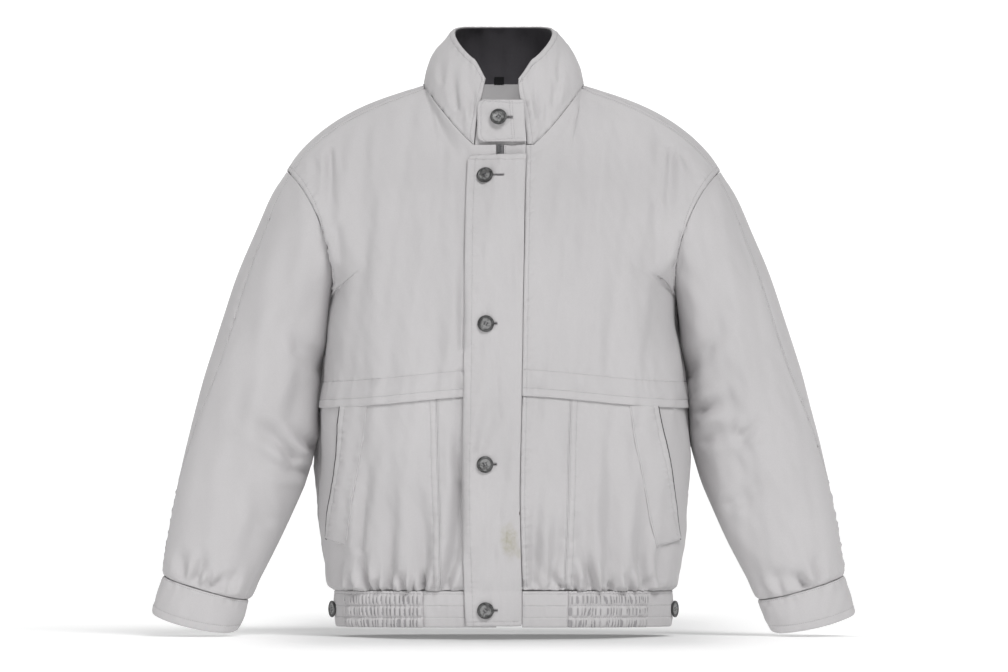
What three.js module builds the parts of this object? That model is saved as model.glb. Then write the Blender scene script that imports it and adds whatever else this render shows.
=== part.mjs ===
// A zip and storm-flap blouson, filled out as if worn, with nobody in it.
// Millimetres, +Z up, the front faces -Y. The origin is the middle of the neck seam.
// Every piece of cloth is a wall: an outer surface, and an inner one a cloth's thickness behind it.
import * as THREE from 'three';

// ---- driving dimensions ----
const CLOTH = 2; // shell cloth with its backing
const BAND_CLOTH = 3; // waistband, cloth round elastic
const LINING_CLOTH = 1;
const SEAM_GAP = 0.3; // between neighbouring pieces
const ROUNDNESS = 0.8; // exponent of the torso's rounded-rectangle plan
const COLUMN_EASE = 1.25; // spreads the columns evenly along that plan

const NECK = { halfWidth: 102, y: -5, depth: 80, back: 40, drop: 96, power: 4.8 };
const COLLAR_TOP = { halfWidth: 63.5, y: -3, depth: 66, back: 113, drop: 59, power: 2.9 };
// angles in degrees from the centre front; the ends lean in towards each other by lean
const COLLAR = {
  end: 22, corner: 14.7, cornerCut: 0.19, cornerPower: 1.5, bulge: 10, lean: 3.9, leanReach: 0.36,
};
const SHOULDER = { neckAngle: 80, armAngle: 20, bow: 80, rise: 4 };
const ARMHOLE = { topX: 278, topZ: -75, bottomX: 222, bottomZ: -238, y: 2, halfDepth: 82, scoop: 20 };
// near the armhole the cloth leaves its soft section only in its last few centimetres
const UNDERARM = { softDepth: 62, softTop: -180, softBottom: -330, reach: 9 };
// above the chest the section is a flat curve that ends at the armhole, below it a closed one
const YOKE = { power: 3.2, top: -90, bottom: -215, frontBlend: 0.22, backBlend: 0.2 };
const WAIST = { top: -610, bottom: -657, halfWidth: 216.5, front: 140, back: 136, taper: 2 };
const CENTRE = { leftEdge: -9.2, zipLeft: -8.8, zipRight: -0.2, placketLeft: 0.3 };
// the chest panel's hem, standing over the lower front
const LAP = { rise: 3.2, length: 34, flat: 10, tuck: 6 };
const FRONT_SEAM = { top: 86, bottom: 79 }; // x of the lower front's upright seam
const BUTTON = { radius: 10.7, thickness: 3.2, dish: 0.8, sides: 14, seat: 0.7 };
const FLAP_BUTTONS = [
  { x: -23.3, z: -80.5 },
  { x: -22.4, z: -269.4 },
  { x: -23.9, z: -448.6 },
  { x: -23, z: -634.9 },
];
const THROAT_BUTTON = { x: -6.3, z: -5.4 };
const WAIST_BUTTON = { angle: 79, facing: 76, share: 0.52 };

// half width at the side seam, and how far the centre front and centre back stand from the shoulder plane
const BODY_ROWS = [
  { z: 40, halfWidth: 222, front: 80, back: 75 },
  { z: 0, halfWidth: 222, front: 82, back: 104 },
  { z: -56, halfWidth: 222, front: 87, back: 126 },
  { z: -110, halfWidth: 222, front: 114, back: 140 },
  { z: -170, halfWidth: 222, front: 136, back: 147 },
  { z: -238, halfWidth: 222, front: 148, back: 150 },
  { z: -270, halfWidth: 223.5, front: 151, back: 150 },
  { z: -328, halfWidth: 232.5, front: 154, back: 149 },
  { z: -377, halfWidth: 236, front: 156, back: 148 },
  { z: -456, halfWidth: 238, front: 158, back: 148 },
  { z: -508, halfWidth: 235, front: 157, back: 149 },
  { z: -552, halfWidth: 230, front: 153, back: 147 },
  { z: -591, halfWidth: 221, front: 145, back: 140 },
  { z: -610, halfWidth: 216.5, front: 140, back: 136 },
];

// the front edge of the chest's right half, where the flap is sewn in
const SEAM_ROWS = [
  { z: -30, x: 29 },
  { z: -80, x: 28 },
  { z: -362, x: 23.3 },
  { z: -495, x: 21 },
  { z: -610, x: 23.7 },
  { z: -660, x: 23.7 },
];

// the storm flap's free edge
const FLAP_ROWS = [
  { z: -53, x: -46 },
  { z: -110, x: -48.4 },
  { z: -362, x: -51.2 },
  { z: -495, x: -53.1 },
  { z: -610, x: -50 },
  { z: -655, x: -48.5 },
];
const FLAP = { top: -53, bottom: -655, corner: 8, offset: 2.6, neckRise: 1.8 };

// sleeve rings: outer and inner point of each in the front view, half depth, y of the middle,
// scoop of the ring towards the body, and how far its front edge hangs below the middle
const SLEEVE_ROWS = [
  { outX: 278.4, outZ: -75, inX: 222.6, inZ: -238, depth: 82, y: 2, scoop: 20, hang: 0 },
  { outX: 298, outZ: -106, inX: 226.2, inZ: -262, depth: 81, y: 4, scoop: 15, hang: 0 },
  { outX: 318, outZ: -151, inX: 232, inZ: -300, depth: 78, y: 7, scoop: 8, hang: 0 },
  { outX: 338, outZ: -198, inX: 238, inZ: -340, depth: 75, y: 8, scoop: 3, hang: 0 },
  { outX: 361, outZ: -266, inX: 241.2, inZ: -385, depth: 72, y: 7, scoop: 0, hang: 0 },
  { outX: 385, outZ: -341, inX: 243, inZ: -432, depth: 69, y: 4, scoop: 0, hang: 0 },
  { outX: 401, outZ: -402, inX: 252, inZ: -468, depth: 65, y: 0, scoop: 0, hang: 1 },
  { outX: 415, outZ: -462, inX: 266, inZ: -502, depth: 61, y: -5, scoop: 0, hang: 2 },
  { outX: 426, outZ: -515, inX: 284, inZ: -541, depth: 56, y: -11, scoop: 0, hang: 3 },
  { outX: 433, outZ: -557, inX: 304, inZ: -581, depth: 49, y: -16, scoop: 0, hang: 4 },
  { outX: 436, outZ: -591, inX: 326, inZ: -622, depth: 39, y: -20, scoop: 0, hang: 5 },
];
const CUFF_ROWS = [
  { outX: 436.4, outZ: -591.5, inX: 326.4, inZ: -622.5, depth: 39, y: -20, scoop: 0, hang: 5 },
  { outX: 445, outZ: -616, inX: 333, inZ: -645, depth: 38, y: -21, scoop: 0, hang: 7 },
  { outX: 450.5, outZ: -639, inX: 342, inZ: -662.5, depth: 37, y: -22, scoop: 0, hang: 9 },
];
const SLEEVE_SEAM_ROWS = [ // angle of the outer sleeve seam in front of the ring's outer point
  { at: 0, angle: 20 },
  { at: 0.25, angle: 33 },
  { at: 0.45, angle: 36 },
  { at: 0.6, angle: 22 },
  { at: 0.75, angle: 6 },
  { at: 1, angle: 2 },
];

// Folds, each a soft trough from one point of the front or back view to another.
// A negative depth is a ridge.
const FRONT_FOLDS = [
  { x0: -226, z0: -55, x1: -222, z1: -150, width: 9, depth: 4 },
  { x0: 214, z0: -60, x1: 216, z1: -185, width: 9, depth: 4 },
  { x0: -187, z0: -560, x1: -171, z1: -612, width: 7, depth: 5 },
  { x0: -158, z0: -590, x1: -160, z1: -614, width: 6, depth: 5 },
  { x0: -134, z0: -575, x1: -127, z1: -614, width: 7, depth: 5.5 },
  { x0: -105, z0: -560, x1: -104, z1: -612, width: 7, depth: 4.5 },
  { x0: -60, z0: -552, x1: -73, z1: -606, width: 8, depth: 3.5 },
  { x0: -200, z0: -578, x1: -190, z1: -612, width: 7, depth: 4 },
  { x0: 36, z0: -540, x1: 38, z1: -602, width: 8, depth: 3 },
  { x0: 56, z0: -572, x1: 74, z1: -608, width: 7, depth: 3.5 },
  { x0: 104, z0: -556, x1: 113, z1: -612, width: 7, depth: 5 },
  { x0: 130, z0: -585, x1: 135, z1: -614, width: 6, depth: 5 },
  { x0: 152, z0: -575, x1: 151, z1: -614, width: 6, depth: 5 },
  { x0: 190, z0: -582, x1: 180, z1: -612, width: 8, depth: 5 },
];
const BACK_FOLDS = [
  { x0: -196, z0: -130, x1: -180, z1: -270, width: 26, depth: 6 },
  { x0: 198, z0: -130, x1: 184, z1: -270, width: 26, depth: 6 },
  { x0: -60, z0: -500, x1: -74, z1: -612, width: 24, depth: 5 },
  { x0: 20, z0: -480, x1: 8, z1: -612, width: 26, depth: 4.5 },
  { x0: 88, z0: -510, x1: 98, z1: -612, width: 24, depth: 5 },
  { x0: -140, z0: -520, x1: -134, z1: -612, width: 22, depth: 4.5 },
  { x0: 160, z0: -520, x1: 152, z1: -612, width: 22, depth: 4.5 },
];
const SLEEVE_FOLDS = [ // seen on both faces of a sleeve, with x away from the body
  { side: -1, x0: 337, z0: -387, x1: 268, z1: -442, width: 12, depth: 5 },
  { side: -1, x0: 262, z0: -396, x1: 246, z1: -428, width: 12, depth: 4 },
  { side: -1, x0: 392, z0: -552, x1: 391, z1: -594, width: 9, depth: 4 },
  { side: -1, x0: 344, z0: -584, x1: 372, z1: -612, width: 10, depth: 4 },
  { side: 1, x0: 301, z0: -368, x1: 254, z1: -384, width: 12, depth: 5 },
  { side: 1, x0: 328, z0: -385, x1: 306, z1: -412, width: 12, depth: 5 },
  { side: 1, x0: 373, z0: -575, x1: 385, z1: -610, width: 9, depth: 4 },
  { side: 1, x0: 337, z0: -586, x1: 383, z1: -612, width: 10, depth: 4 },
];

// ---- small helpers ----
const radians = THREE.MathUtils.degToRad;
const lerp = THREE.MathUtils.lerp;
const clamp = THREE.MathUtils.clamp;
const smooth = (at, from, to) => {
  const t = clamp((at - from) / (to - from), 0, 1);
  return t * t * (3 - 2 * t);
};
const signedPower = (value, power) => Math.sign(value) * Math.abs(value) ** power;
const unit = (x, y, z) => new THREE.Vector3(x, y, z).normalize();
function steps(count, from = 0, to = 1) {
  return Array.from({ length: count + 1 }, (_, i) => lerp(from, to, i / count));
}

// A smooth curve through one column of a table whose rows are in order of another column.
function lookup(rows, key, at, column) {
  const rising = rows.at(-1)[key] > rows[0][key];
  let i = rows.findIndex((row) => (rising ? row[key] >= at : row[key] <= at));
  if (i === 0) return rows[0][column];
  if (i < 0) return rows.at(-1)[column];
  i -= 1;
  const [a, b] = [rows[i], rows[i + 1]];
  const slope = (p, q) => (q[column] - p[column]) / (q[key] - p[key]);
  const before = rows[i - 1] ? (slope(rows[i - 1], a) + slope(a, b)) / 2 : slope(a, b);
  const after = rows[i + 2] ? (slope(a, b) + slope(b, rows[i + 2])) / 2 : slope(a, b);
  const span = b[key] - a[key];
  const t = (at - a[key]) / span;
  const cubic = t * t * (3 - 2 * t);
  return (
    lerp(a[column], b[column], cubic) + span * (before * t * (1 - t) ** 2 - after * t * t * (1 - t))
  );
}

// Depth of the folds at a point of the front or back view.
function foldDepth(folds, x, z) {
  let depth = 0;
  for (const fold of folds) {
    const dx = fold.x1 - fold.x0;
    const dz = fold.z1 - fold.z0;
    const along = ((x - fold.x0) * dx + (z - fold.z0) * dz) / (dx * dx + dz * dz);
    const t = clamp(along, 0, 1);
    const distance = Math.hypot(x - fold.x0 - t * dx, z - fold.z0 - t * dz);
    depth += fold.depth * Math.exp(-((distance / fold.width) ** 2));
  }
  return depth;
}

// ---- seams that several pieces share ----
// A ring round the neck; angle 0 is the centre front, 180 degrees the centre back.
function neckRing(ring, angle, side = 1) {
  const drop = ring.drop * ((1 + Math.cos(angle)) / 2) ** ring.power;
  return new THREE.Vector3(
    side * ring.halfWidth * Math.sin(angle), ring.y - ring.depth * Math.cos(angle), ring.back - drop);
}

function neckNormal(angle, side) {
  const lean = 0.3 + 0.7 * smooth(angle, radians(20), radians(80));
  return unit(side * Math.sin(angle), -Math.cos(angle), lean);
}

// A point of a sleeve ring; angle 0 is its outer point, 90 degrees its front, 180 its inner point.
function sleevePoint(row, angle, side) {
  const half = new THREE.Vector3(row.outX - row.inX, 0, row.outZ - row.inZ).multiplyScalar(0.5);
  const inward = unit(-half.z, 0, half.x);
  const front = Math.sin(angle);
  const point = new THREE.Vector3((row.outX + row.inX) / 2, row.y, (row.outZ + row.inZ) / 2)
    .addScaledVector(half, Math.cos(angle))
    .addScaledVector(inward, row.scoop * Math.abs(front) ** 1.5 * (front > 0 ? 1 : 0.6));
  point.y -= row.depth * front;
  point.z -= row.hang * front;
  point.x *= side;
  return point;
}

function sleeveNormal(row, angle, side) {
  const half = new THREE.Vector3(row.outX - row.inX, 0, row.outZ - row.inZ);
  const normal = half.normalize().multiplyScalar(Math.cos(angle));
  return unit(side * normal.x, -Math.sin(angle), normal.z);
}

const ARMHOLE_RING = {
  outX: ARMHOLE.topX, outZ: ARMHOLE.topZ, inX: ARMHOLE.bottomX, inZ: ARMHOLE.bottomZ,
  depth: ARMHOLE.halfDepth, y: ARMHOLE.y, scoop: ARMHOLE.scoop, hang: 0,
};

// The angle at which the armhole passes a height, on its front (face 1) or back (face -1).
function armholeAngle(z, face) {
  let [low, high] = [0, Math.PI];
  for (let i = 0; i < 40; i += 1) {
    const middle = (low + high) / 2;
    if (sleevePoint(ARMHOLE_RING, face * middle, 1).z > z) low = middle;
    else high = middle;
  }
  return face * (low + high) / 2;
}

// The outer edge of the body at a height: the armhole, then the side seam.
function bodyEdge(z, face) {
  if (z > ARMHOLE.bottomZ) return sleevePoint(ARMHOLE_RING, armholeAngle(z, face), 1);
  return new THREE.Vector3(lookup(BODY_ROWS, 'z', z, 'halfWidth'), 0, z);
}

// The forward shoulder seam, t from the neck to the armhole, and the crest behind it.
const SEAM_AT_NECK = neckRing(NECK, radians(SHOULDER.neckAngle));
const SEAM_AT_ARM = sleevePoint(ARMHOLE_RING, radians(SHOULDER.armAngle), 1);
function shoulderSeam(t) {
  const point = SEAM_AT_NECK.clone().lerp(SEAM_AT_ARM, t);
  point.z += SHOULDER.bow * t ** 1.3 * (1 - t) ** 0.7;
  return point;
}
const CREST_AT_NECK = neckRing(NECK, Math.PI / 2).sub(SEAM_AT_NECK);
const CREST_AT_ARM = sleevePoint(ARMHOLE_RING, 0, 1).sub(SEAM_AT_ARM);
function shoulderCrest(t) {
  const point = shoulderSeam(t).add(CREST_AT_NECK.clone().lerp(CREST_AT_ARM, t));
  point.z += SHOULDER.rise * Math.sin(Math.PI * t) ** 0.6;
  return point;
}

// ---- the torso ----
const columnAngle = (u) => (Math.PI / 2) * u ** COLUMN_EASE;
const columnShare = (u) => Math.sin(columnAngle(u)) ** ROUNDNESS;
function columnAt(share) {
  const angle = Math.asin(clamp(share, 0, 1) ** (1 / ROUNDNESS));
  return (angle / (Math.PI / 2)) ** (1 / COLUMN_EASE);
}

function sectionY(u, z, edgeY, face) {
  const centre = face > 0 ? -lookup(BODY_ROWS, 'z', z, 'front') : lookup(BODY_ROWS, 'z', z, 'back');
  const share = columnShare(u);
  const open = share ** YOKE.power;
  const closed = 1 - Math.cos(columnAngle(u)) ** ROUNDNESS;
  const soft = -face * UNDERARM.softDepth * (1 - smooth(z, UNDERARM.softTop, UNDERARM.softBottom));
  const y = lerp(centre, soft, lerp(open, closed, smooth(z, YOKE.top, YOKE.bottom)));
  return y + (edgeY - soft) * share ** UNDERARM.reach;
}

function pushOut(point, u, side, face, distance) {
  const angle = columnAngle(u);
  const out = unit(side * Math.sin(angle) ** 1.2, -face * Math.cos(angle) ** 1.2, 0);
  return point.addScaledVector(out, distance);
}

// u runs from the centre front to the armhole and side seam, f from neck and shoulder to the waist.
const NECK_COLUMN = columnAt(SEAM_AT_NECK.x / SEAM_AT_ARM.x);
const shoulderShare = (u) =>
  (columnShare(u) * SEAM_AT_ARM.x - SEAM_AT_NECK.x) / (SEAM_AT_ARM.x - SEAM_AT_NECK.x);
function frontTop(u) {
  const x = columnShare(u) * SEAM_AT_ARM.x;
  if (u > NECK_COLUMN) return shoulderSeam(shoulderShare(u));
  const angle = Math.asin(clamp(x / NECK.halfWidth, 0, 1));
  const point = neckRing(NECK, angle);
  if (angle < radians(COLLAR.end)) point.z = neckRing(NECK, radians(COLLAR.end)).z;
  return point;
}
function front(side, u, f) {
  const top = frontTop(u);
  const z = lerp(top.z, WAIST.top, f);
  const edge = bodyEdge(lerp(SEAM_AT_ARM.z, WAIST.top, f), 1);
  const point = new THREE.Vector3(side * columnShare(u) * edge.x, sectionY(u, z, edge.y, 1), z);
  const below = (1 - clamp(f / YOKE.frontBlend, 0, 1)) ** 2;
  point.y += (top.y - sectionY(u, top.z, SEAM_AT_ARM.y, 1)) * below;
  return pushOut(point, u, side, 1, -foldDepth(FRONT_FOLDS, point.x, z) * smooth(f, 0, 0.05));
}

// The front's u and f at a point of the front view.
function frontAt(x, z) {
  const place = { side: x < 0 ? -1 : 1, u: 0.5, f: 0.5 };
  for (let i = 0; i < 14; i += 1) {
    const edge = bodyEdge(lerp(SEAM_AT_ARM.z, WAIST.top, place.f), 1);
    place.u = columnAt(Math.abs(x) / edge.x);
    place.f = clamp((z - frontTop(place.u).z) / (WAIST.top - frontTop(place.u).z), 0, 1);
  }
  return place;
}

function normalOf(surface, a, b, step = 1e-3) {
  const across = surface(a + step, b).sub(surface(a - step, b));
  const down = surface(a, b + step).sub(surface(a, b - step));
  return across.cross(down).normalize();
}

// A point of the front view, on the cloth of the front, moved out by an offset.
function onFront(x, z, offset) {
  if (z < WAIST.top) {
    const low = waist(waistAngle(x), (WAIST.top - z) / (WAIST.top - WAIST.bottom));
    low.y -= offset;
    return low;
  }
  const place = frontAt(x, z);
  const point = front(place.side, place.u, place.f);
  const at = (u, f) => front(place.side, clamp(u, 0, 1), clamp(f, 0, 1));
  const normal = normalOf(at, clamp(place.u, 0.002, 0.998), clamp(place.f, 0.002, 0.998));
  if (normal.y > 0) normal.negate();
  return point.addScaledVector(normal, offset);
}

// The back's s runs from the forward shoulder seam, over the crest, to the waist.
const TINY = 1e-6;
const CREST_SHARE = 0.06;
const FALL_POWER = 1.15;
const backNeckAngle = (u) => Math.PI * (1 - u / NECK_COLUMN / 2);
function backTop(u) {
  if (u < NECK_COLUMN - TINY) return neckRing(NECK, backNeckAngle(u));
  return shoulderCrest(clamp(shoulderShare(u), 0, 1));
}
function back(side, u, s) {
  const top = backTop(u);
  const t = u < NECK_COLUMN - TINY ? -1 : clamp(shoulderShare(u), 0, 1);
  if (t >= 0 && s < CREST_SHARE) {
    const a = s / CREST_SHARE;
    const seam = shoulderSeam(t);
    const point = new THREE.Vector3(
      lerp(seam.x, top.x, a), lerp(seam.y, top.y, a), lerp(seam.z, top.z, Math.sin((a * Math.PI) / 2)));
    if (t < TINY) point.copy(neckRing(NECK, lerp(radians(SHOULDER.neckAngle), Math.PI / 2, a)));
    const armAngle = lerp(radians(SHOULDER.armAngle), 0, a);
    if (t > 1 - TINY) point.copy(sleevePoint(ARMHOLE_RING, armAngle, 1));
    point.x *= side;
    return point;
  }
  const past = clamp((s - CREST_SHARE) / (1 - CREST_SHARE), 0, 1);
  const f = t < 0 ? s : past;
  const fall = f ** FALL_POWER;
  const z = lerp(top.z, WAIST.top, fall);
  const edge = bodyEdge(lerp(ARMHOLE.topZ, WAIST.top, fall), -1);
  const below = (1 - clamp(f / YOKE.backBlend, 0, 1)) ** 2;
  const x = columnShare(u) * edge.x + (top.x - columnShare(u) * ARMHOLE.topX) * below;
  const y = sectionY(u, z, edge.y, -1) + (top.y - sectionY(u, top.z, ARMHOLE.y, -1)) * below;
  const point = new THREE.Vector3(side * x, y, z);
  return pushOut(point, u, side, -1, -foldDepth(BACK_FOLDS, point.x, z) * smooth(f, 0.02, 0.1));
}

// The waistband; the angle goes round from the centre front, t from its top seam to the hem.
function waist(angle, t) {
  const grow = 1.5 * Math.sin(Math.PI * t) - WAIST.taper * t;
  const depth = (Math.cos(angle) > 0 ? WAIST.front : WAIST.back) + grow;
  return new THREE.Vector3(
    (WAIST.halfWidth + grow) * signedPower(Math.sin(angle), ROUNDNESS),
    -depth * signedPower(Math.cos(angle), ROUNDNESS), lerp(WAIST.top - SEAM_GAP, WAIST.bottom, t));
}
const waistAngle = (x) => Math.asin(signedPower(x / WAIST.halfWidth, 1 / ROUNDNESS));

// ---- building closed walls ----
// surface(a, b) gives the outer points at a and b from 0 to 1. edges.left, right, top and bottom
// may each give the direction of the wall's thickness at that edge; plain(a, b) is a surface
// without relief, for the inside; loop joins the last column to the first.
function wall(surface, columns, rows, thickness, { edges = {}, plain = surface, loop = false } = {}) {
  const outer = [];
  const inner = [];
  const limit = (value) => clamp(value, 0, 1);
  const inside = (a, b) => plain(loop ? a : limit(a), limit(b));
  const sample = (a, b) => {
    const inSpan = (value) => clamp(value, 1e-3, 1 - 1e-3);
    return normalOf(inside, loop ? a : inSpan(a), inSpan(b));
  };
  const middle = sample(0.5, 0.5);
  const facing = edges.facing(surface(0.5, 0.5)).dot(middle) < 0 ? -1 : 1;
  for (const b of rows) {
    for (const a of columns) {
      let normal = sample(a, b).multiplyScalar(facing);
      if (a === 0 && edges.left) normal = edges.left(b);
      if (a === 1 && edges.right) normal = edges.right(b);
      if (b === 0 && edges.top) normal = edges.top(a, normal);
      if (b === 1 && edges.bottom) normal = edges.bottom(a, normal);
      outer.push(surface(a, b));
      inner.push(plain(a, b).addScaledVector(normal, -thickness));
    }
  }
  const wide = columns.length;
  const high = rows.length;
  const at = (column, row) => row * wide + (loop ? column % wide : column);
  const guide = plain === surface ? outer : inner;
  const moves = seamMoves(guide, at, wide, high, loop);
  for (const [index, step] of moves) {
    outer[index].add(step);
    inner[index].add(step);
  }
  return closedMesh(outer, inner, at, wide, high, loop);
}

// How far the edge points move back, half the seam gap each.
function seamMoves(layer, at, wide, high, loop) {
  const moves = [];
  const pull = (edge, next) => {
    const step = layer[next].clone().sub(layer[edge]).normalize().multiplyScalar(SEAM_GAP / 2);
    moves.push([edge, step]);
  };
  for (let column = 0; column < wide; column += 1) {
    pull(at(column, 0), at(column, 1));
    pull(at(column, high - 1), at(column, high - 2));
  }
  for (let row = 0; row < high && !loop; row += 1) {
    pull(at(0, row), at(1, row));
    pull(at(wide - 1, row), at(wide - 2, row));
  }
  return moves;
}

function closedMesh(outer, inner, at, wide, high, loop) {
  const shift = outer.length;
  const faces = [];
  const points = [...outer, ...inner];
  const quad = (a, b, c, d) => { // split along its shorter diagonal
    const across = points[a].distanceTo(points[c]) <= points[b].distanceTo(points[d]);
    faces.push(...(across ? [a, b, c, a, c, d] : [a, b, d, b, c, d]));
  };
  const columns = loop ? wide : wide - 1;
  for (let row = 0; row < high - 1; row += 1) {
    for (let column = 0; column < columns; column += 1) {
      const [a, b] = [at(column, row), at(column + 1, row)];
      const [c, d] = [at(column + 1, row + 1), at(column, row + 1)];
      quad(a, b, c, d);
      quad(shift + d, shift + c, shift + b, shift + a);
    }
  }
  for (let column = 0; column < columns; column += 1) {
    const [a, b] = [at(column, 0), at(column + 1, 0)];
    const [c, d] = [at(column, high - 1), at(column + 1, high - 1)];
    quad(shift + a, shift + b, b, a);
    quad(c, d, shift + d, shift + c);
  }
  for (let row = 0; row < high - 1 && !loop; row += 1) {
    const [a, b] = [at(0, row), at(0, row + 1)];
    const [c, d] = [at(wide - 1, row), at(wide - 1, row + 1)];
    quad(a, b, shift + b, shift + a);
    quad(shift + c, shift + d, d, c);
  }
  let volume = 0;
  for (let i = 0; i < faces.length; i += 3) {
    const [a, b, c] = [points[faces[i]], points[faces[i + 1]], points[faces[i + 2]]];
    volume += a.dot(b.clone().cross(c));
  }
  const indices = volume > 0 ? faces : faces.toReversed();
  const geometry = new THREE.BufferGeometry();
  const numbers = points.flatMap((point) => point.toArray());
  geometry.setAttribute('position', new THREE.Float32BufferAttribute(numbers, 3));
  geometry.setIndex(indices);
  geometry.computeVertexNormals();
  return geometry;
}

// Directions that point out of the jacket, for telling a surface's outside from its inside.
const outOfBody = (point) => new THREE.Vector3(point.x, point.y, 0);
const toFront = () => new THREE.Vector3(0, -1, 0);
const level = (_, normal) => unit(normal.x, normal.y, 0);

// ---- materials ----
const paint = (color, roughness) => new THREE.MeshStandardMaterial({ color, roughness, metalness: 0 });
const SHELL = 0xc8c6c7;
const CHARCOAL = 0x3c3a3e;
const jacket = new THREE.Group();
jacket.name = 'bomber_jacket';
function add(name, geometry, color = SHELL, roughness = 0.9) {
  const mesh = new THREE.Mesh(geometry, paint(color, roughness));
  mesh.name = name;
  jacket.add(mesh);
  return mesh;
}

// ---- fronts ----
const HEM = { centre: -361, fall: 16, halfWidth: 235 };
const hemZ = (x) => HEM.centre - HEM.fall * smooth(Math.abs(x), 0, HEM.halfWidth);
const lapRise = (x, z) => LAP.rise * (1 - smooth(z - hemZ(x), LAP.flat, LAP.length));
const flapSeam = (z) => lookup(SEAM_ROWS, 'z', z, 'x') - SEAM_GAP / 2;
const centreEdge = (side, z) => (side < 0 ? -CENTRE.leftEdge : flapSeam(z) + SEAM_GAP);

// A panel of one front between two columns and two heights, each of them a function.
function frontPanel(side, fromX, toX, topF, bottomF, rise) {
  return (a, b) => {
    let u = 0.5;
    let f = 0.5;
    for (let i = 0; i < 8; i += 1) {
      const z = lerp(frontTop(u).z, WAIST.top, f);
      const edge = bodyEdge(lerp(SEAM_AT_ARM.z, WAIST.top, f), 1).x;
      u = lerp(columnAt(fromX(z) / edge), toX ? columnAt(toX(z) / edge) : 1, a);
      f = lerp(topF(u), bottomF(u), b);
    }
    const point = front(side, u, f);
    const lift = rise(point.x, point.z);
    return lift ? pushOut(point, u, side, 1, lift) : point;
  };
}
function hemF(u) {
  let f = 0.5;
  for (let i = 0; i < 8; i += 1) {
    const edge = bodyEdge(lerp(SEAM_AT_ARM.z, WAIST.top, f), 1).x;
    const top = frontTop(u).z;
    f = (top - hemZ(columnShare(u) * edge)) / (top - WAIST.top);
  }
  return f;
}
const tuckF = (u) => hemF(u) - LAP.tuck / (frontTop(u).z - WAIST.top);

const armholeEdge = (side, face) => (z) =>
  (z > ARMHOLE.bottomZ ? sleeveNormal(ARMHOLE_RING, armholeAngle(z, face), side) : unit(side, 0, 0));

function shoulderNormal(side, u) {
  const ahead = normalOf((a, b) => front(side, clamp(a, 0, 1), b), clamp(u, 0.002, 0.998), 0.004);
  const behind = normalOf((a, b) => back(side, clamp(a, 0, 1), b), clamp(u, 0.002, 0.998), 0.004);
  if (ahead.z < 0) ahead.negate();
  if (behind.z < 0) behind.negate();
  return ahead.add(behind).normalize();
}

// Places shared by pieces that meet, so that their edges have the same points.
const NECK_ANGLES = steps(5, radians(COLLAR.end), radians(SHOULDER.neckAngle));
const SHOULDER_COLUMNS = steps(10, NECK_COLUMN, 1);
const FRONT_ARM_ANGLES = steps(10, radians(SHOULDER.armAngle), Math.PI);
const BACK_ARM_ANGLES = steps(9, 0, Math.PI);
const heightOnArmhole = (angle) => sleevePoint(ARMHOLE_RING, angle, 1).z;

function chest(side) {
  const surface = frontPanel(side, (z) => centreEdge(side, z), null, () => 0, hemF, lapRise);
  const topNormal = (a) => {
    const point = surface(a, 0);
    const u = columnAt(Math.abs(point.x) / SEAM_AT_ARM.x);
    if (u > NECK_COLUMN + 0.01) return shoulderNormal(side, u);
    return neckNormal(Math.asin(clamp(Math.abs(point.x) / NECK.halfWidth, 0, 1)), side);
  };
  const first = columnAt(centreEdge(side, SEAM_ROWS[0].z) / SEAM_AT_ARM.x);
  const neckColumn = (angle) => columnAt((NECK.halfWidth * Math.sin(angle)) / SEAM_AT_ARM.x);
  const neckColumns = NECK_ANGLES.slice(0, -1).map(neckColumn);
  const columns = [first, ...neckColumns, ...SHOULDER_COLUMNS].map((u) => (u - first) / (1 - first));
  const height = SEAM_AT_ARM.z - hemZ(HEM.halfWidth);
  const armRows = FRONT_ARM_ANGLES.map((angle) => (SEAM_AT_ARM.z - heightOnArmhole(angle)) / height);
  const lapRow = 1 - LAP.length / height;
  const betweenRow = lerp(armRows.at(-1), lapRow, 0.5);
  const rows = [0, ...armRows.slice(1), betweenRow, lapRow, 1 - LAP.flat / height, 1];
  const edges = { facing: toFront, top: topNormal, right: (b) => armholeEdge(side, 1)(surface(1, b).z) };
  return wall(surface, columns, rows, CLOTH, { edges });
}

const hemShare = (z) => (z - HEM.centre) / (WAIST.top - HEM.centre);
const seamX = (z) => lerp(FRONT_SEAM.top, FRONT_SEAM.bottom, hemShare(z));
const flat = () => 0;
function lowerCentre(side) {
  const surface = frontPanel(side, (z) => centreEdge(side, z), seamX, tuckF, () => 1, flat);
  return wall(surface, steps(5), steps(8), CLOTH, { edges: { facing: toFront, bottom: level } });
}
function lowerSide(side) {
  const surface = frontPanel(side, seamX, null, tuckF, () => 1, flat);
  const edges = { facing: toFront, bottom: level, right: () => unit(side, 0, 0) };
  return wall(surface, steps(15), steps(8), CLOTH, { edges });
}

for (const [side, name] of [[-1, 'left'], [1, 'right']]) {
  add(`chest_${name}`, chest(side));
  add(`lower_centre_${name}`, lowerCentre(side));
  add(`lower_side_${name}`, lowerSide(side));
}

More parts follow.
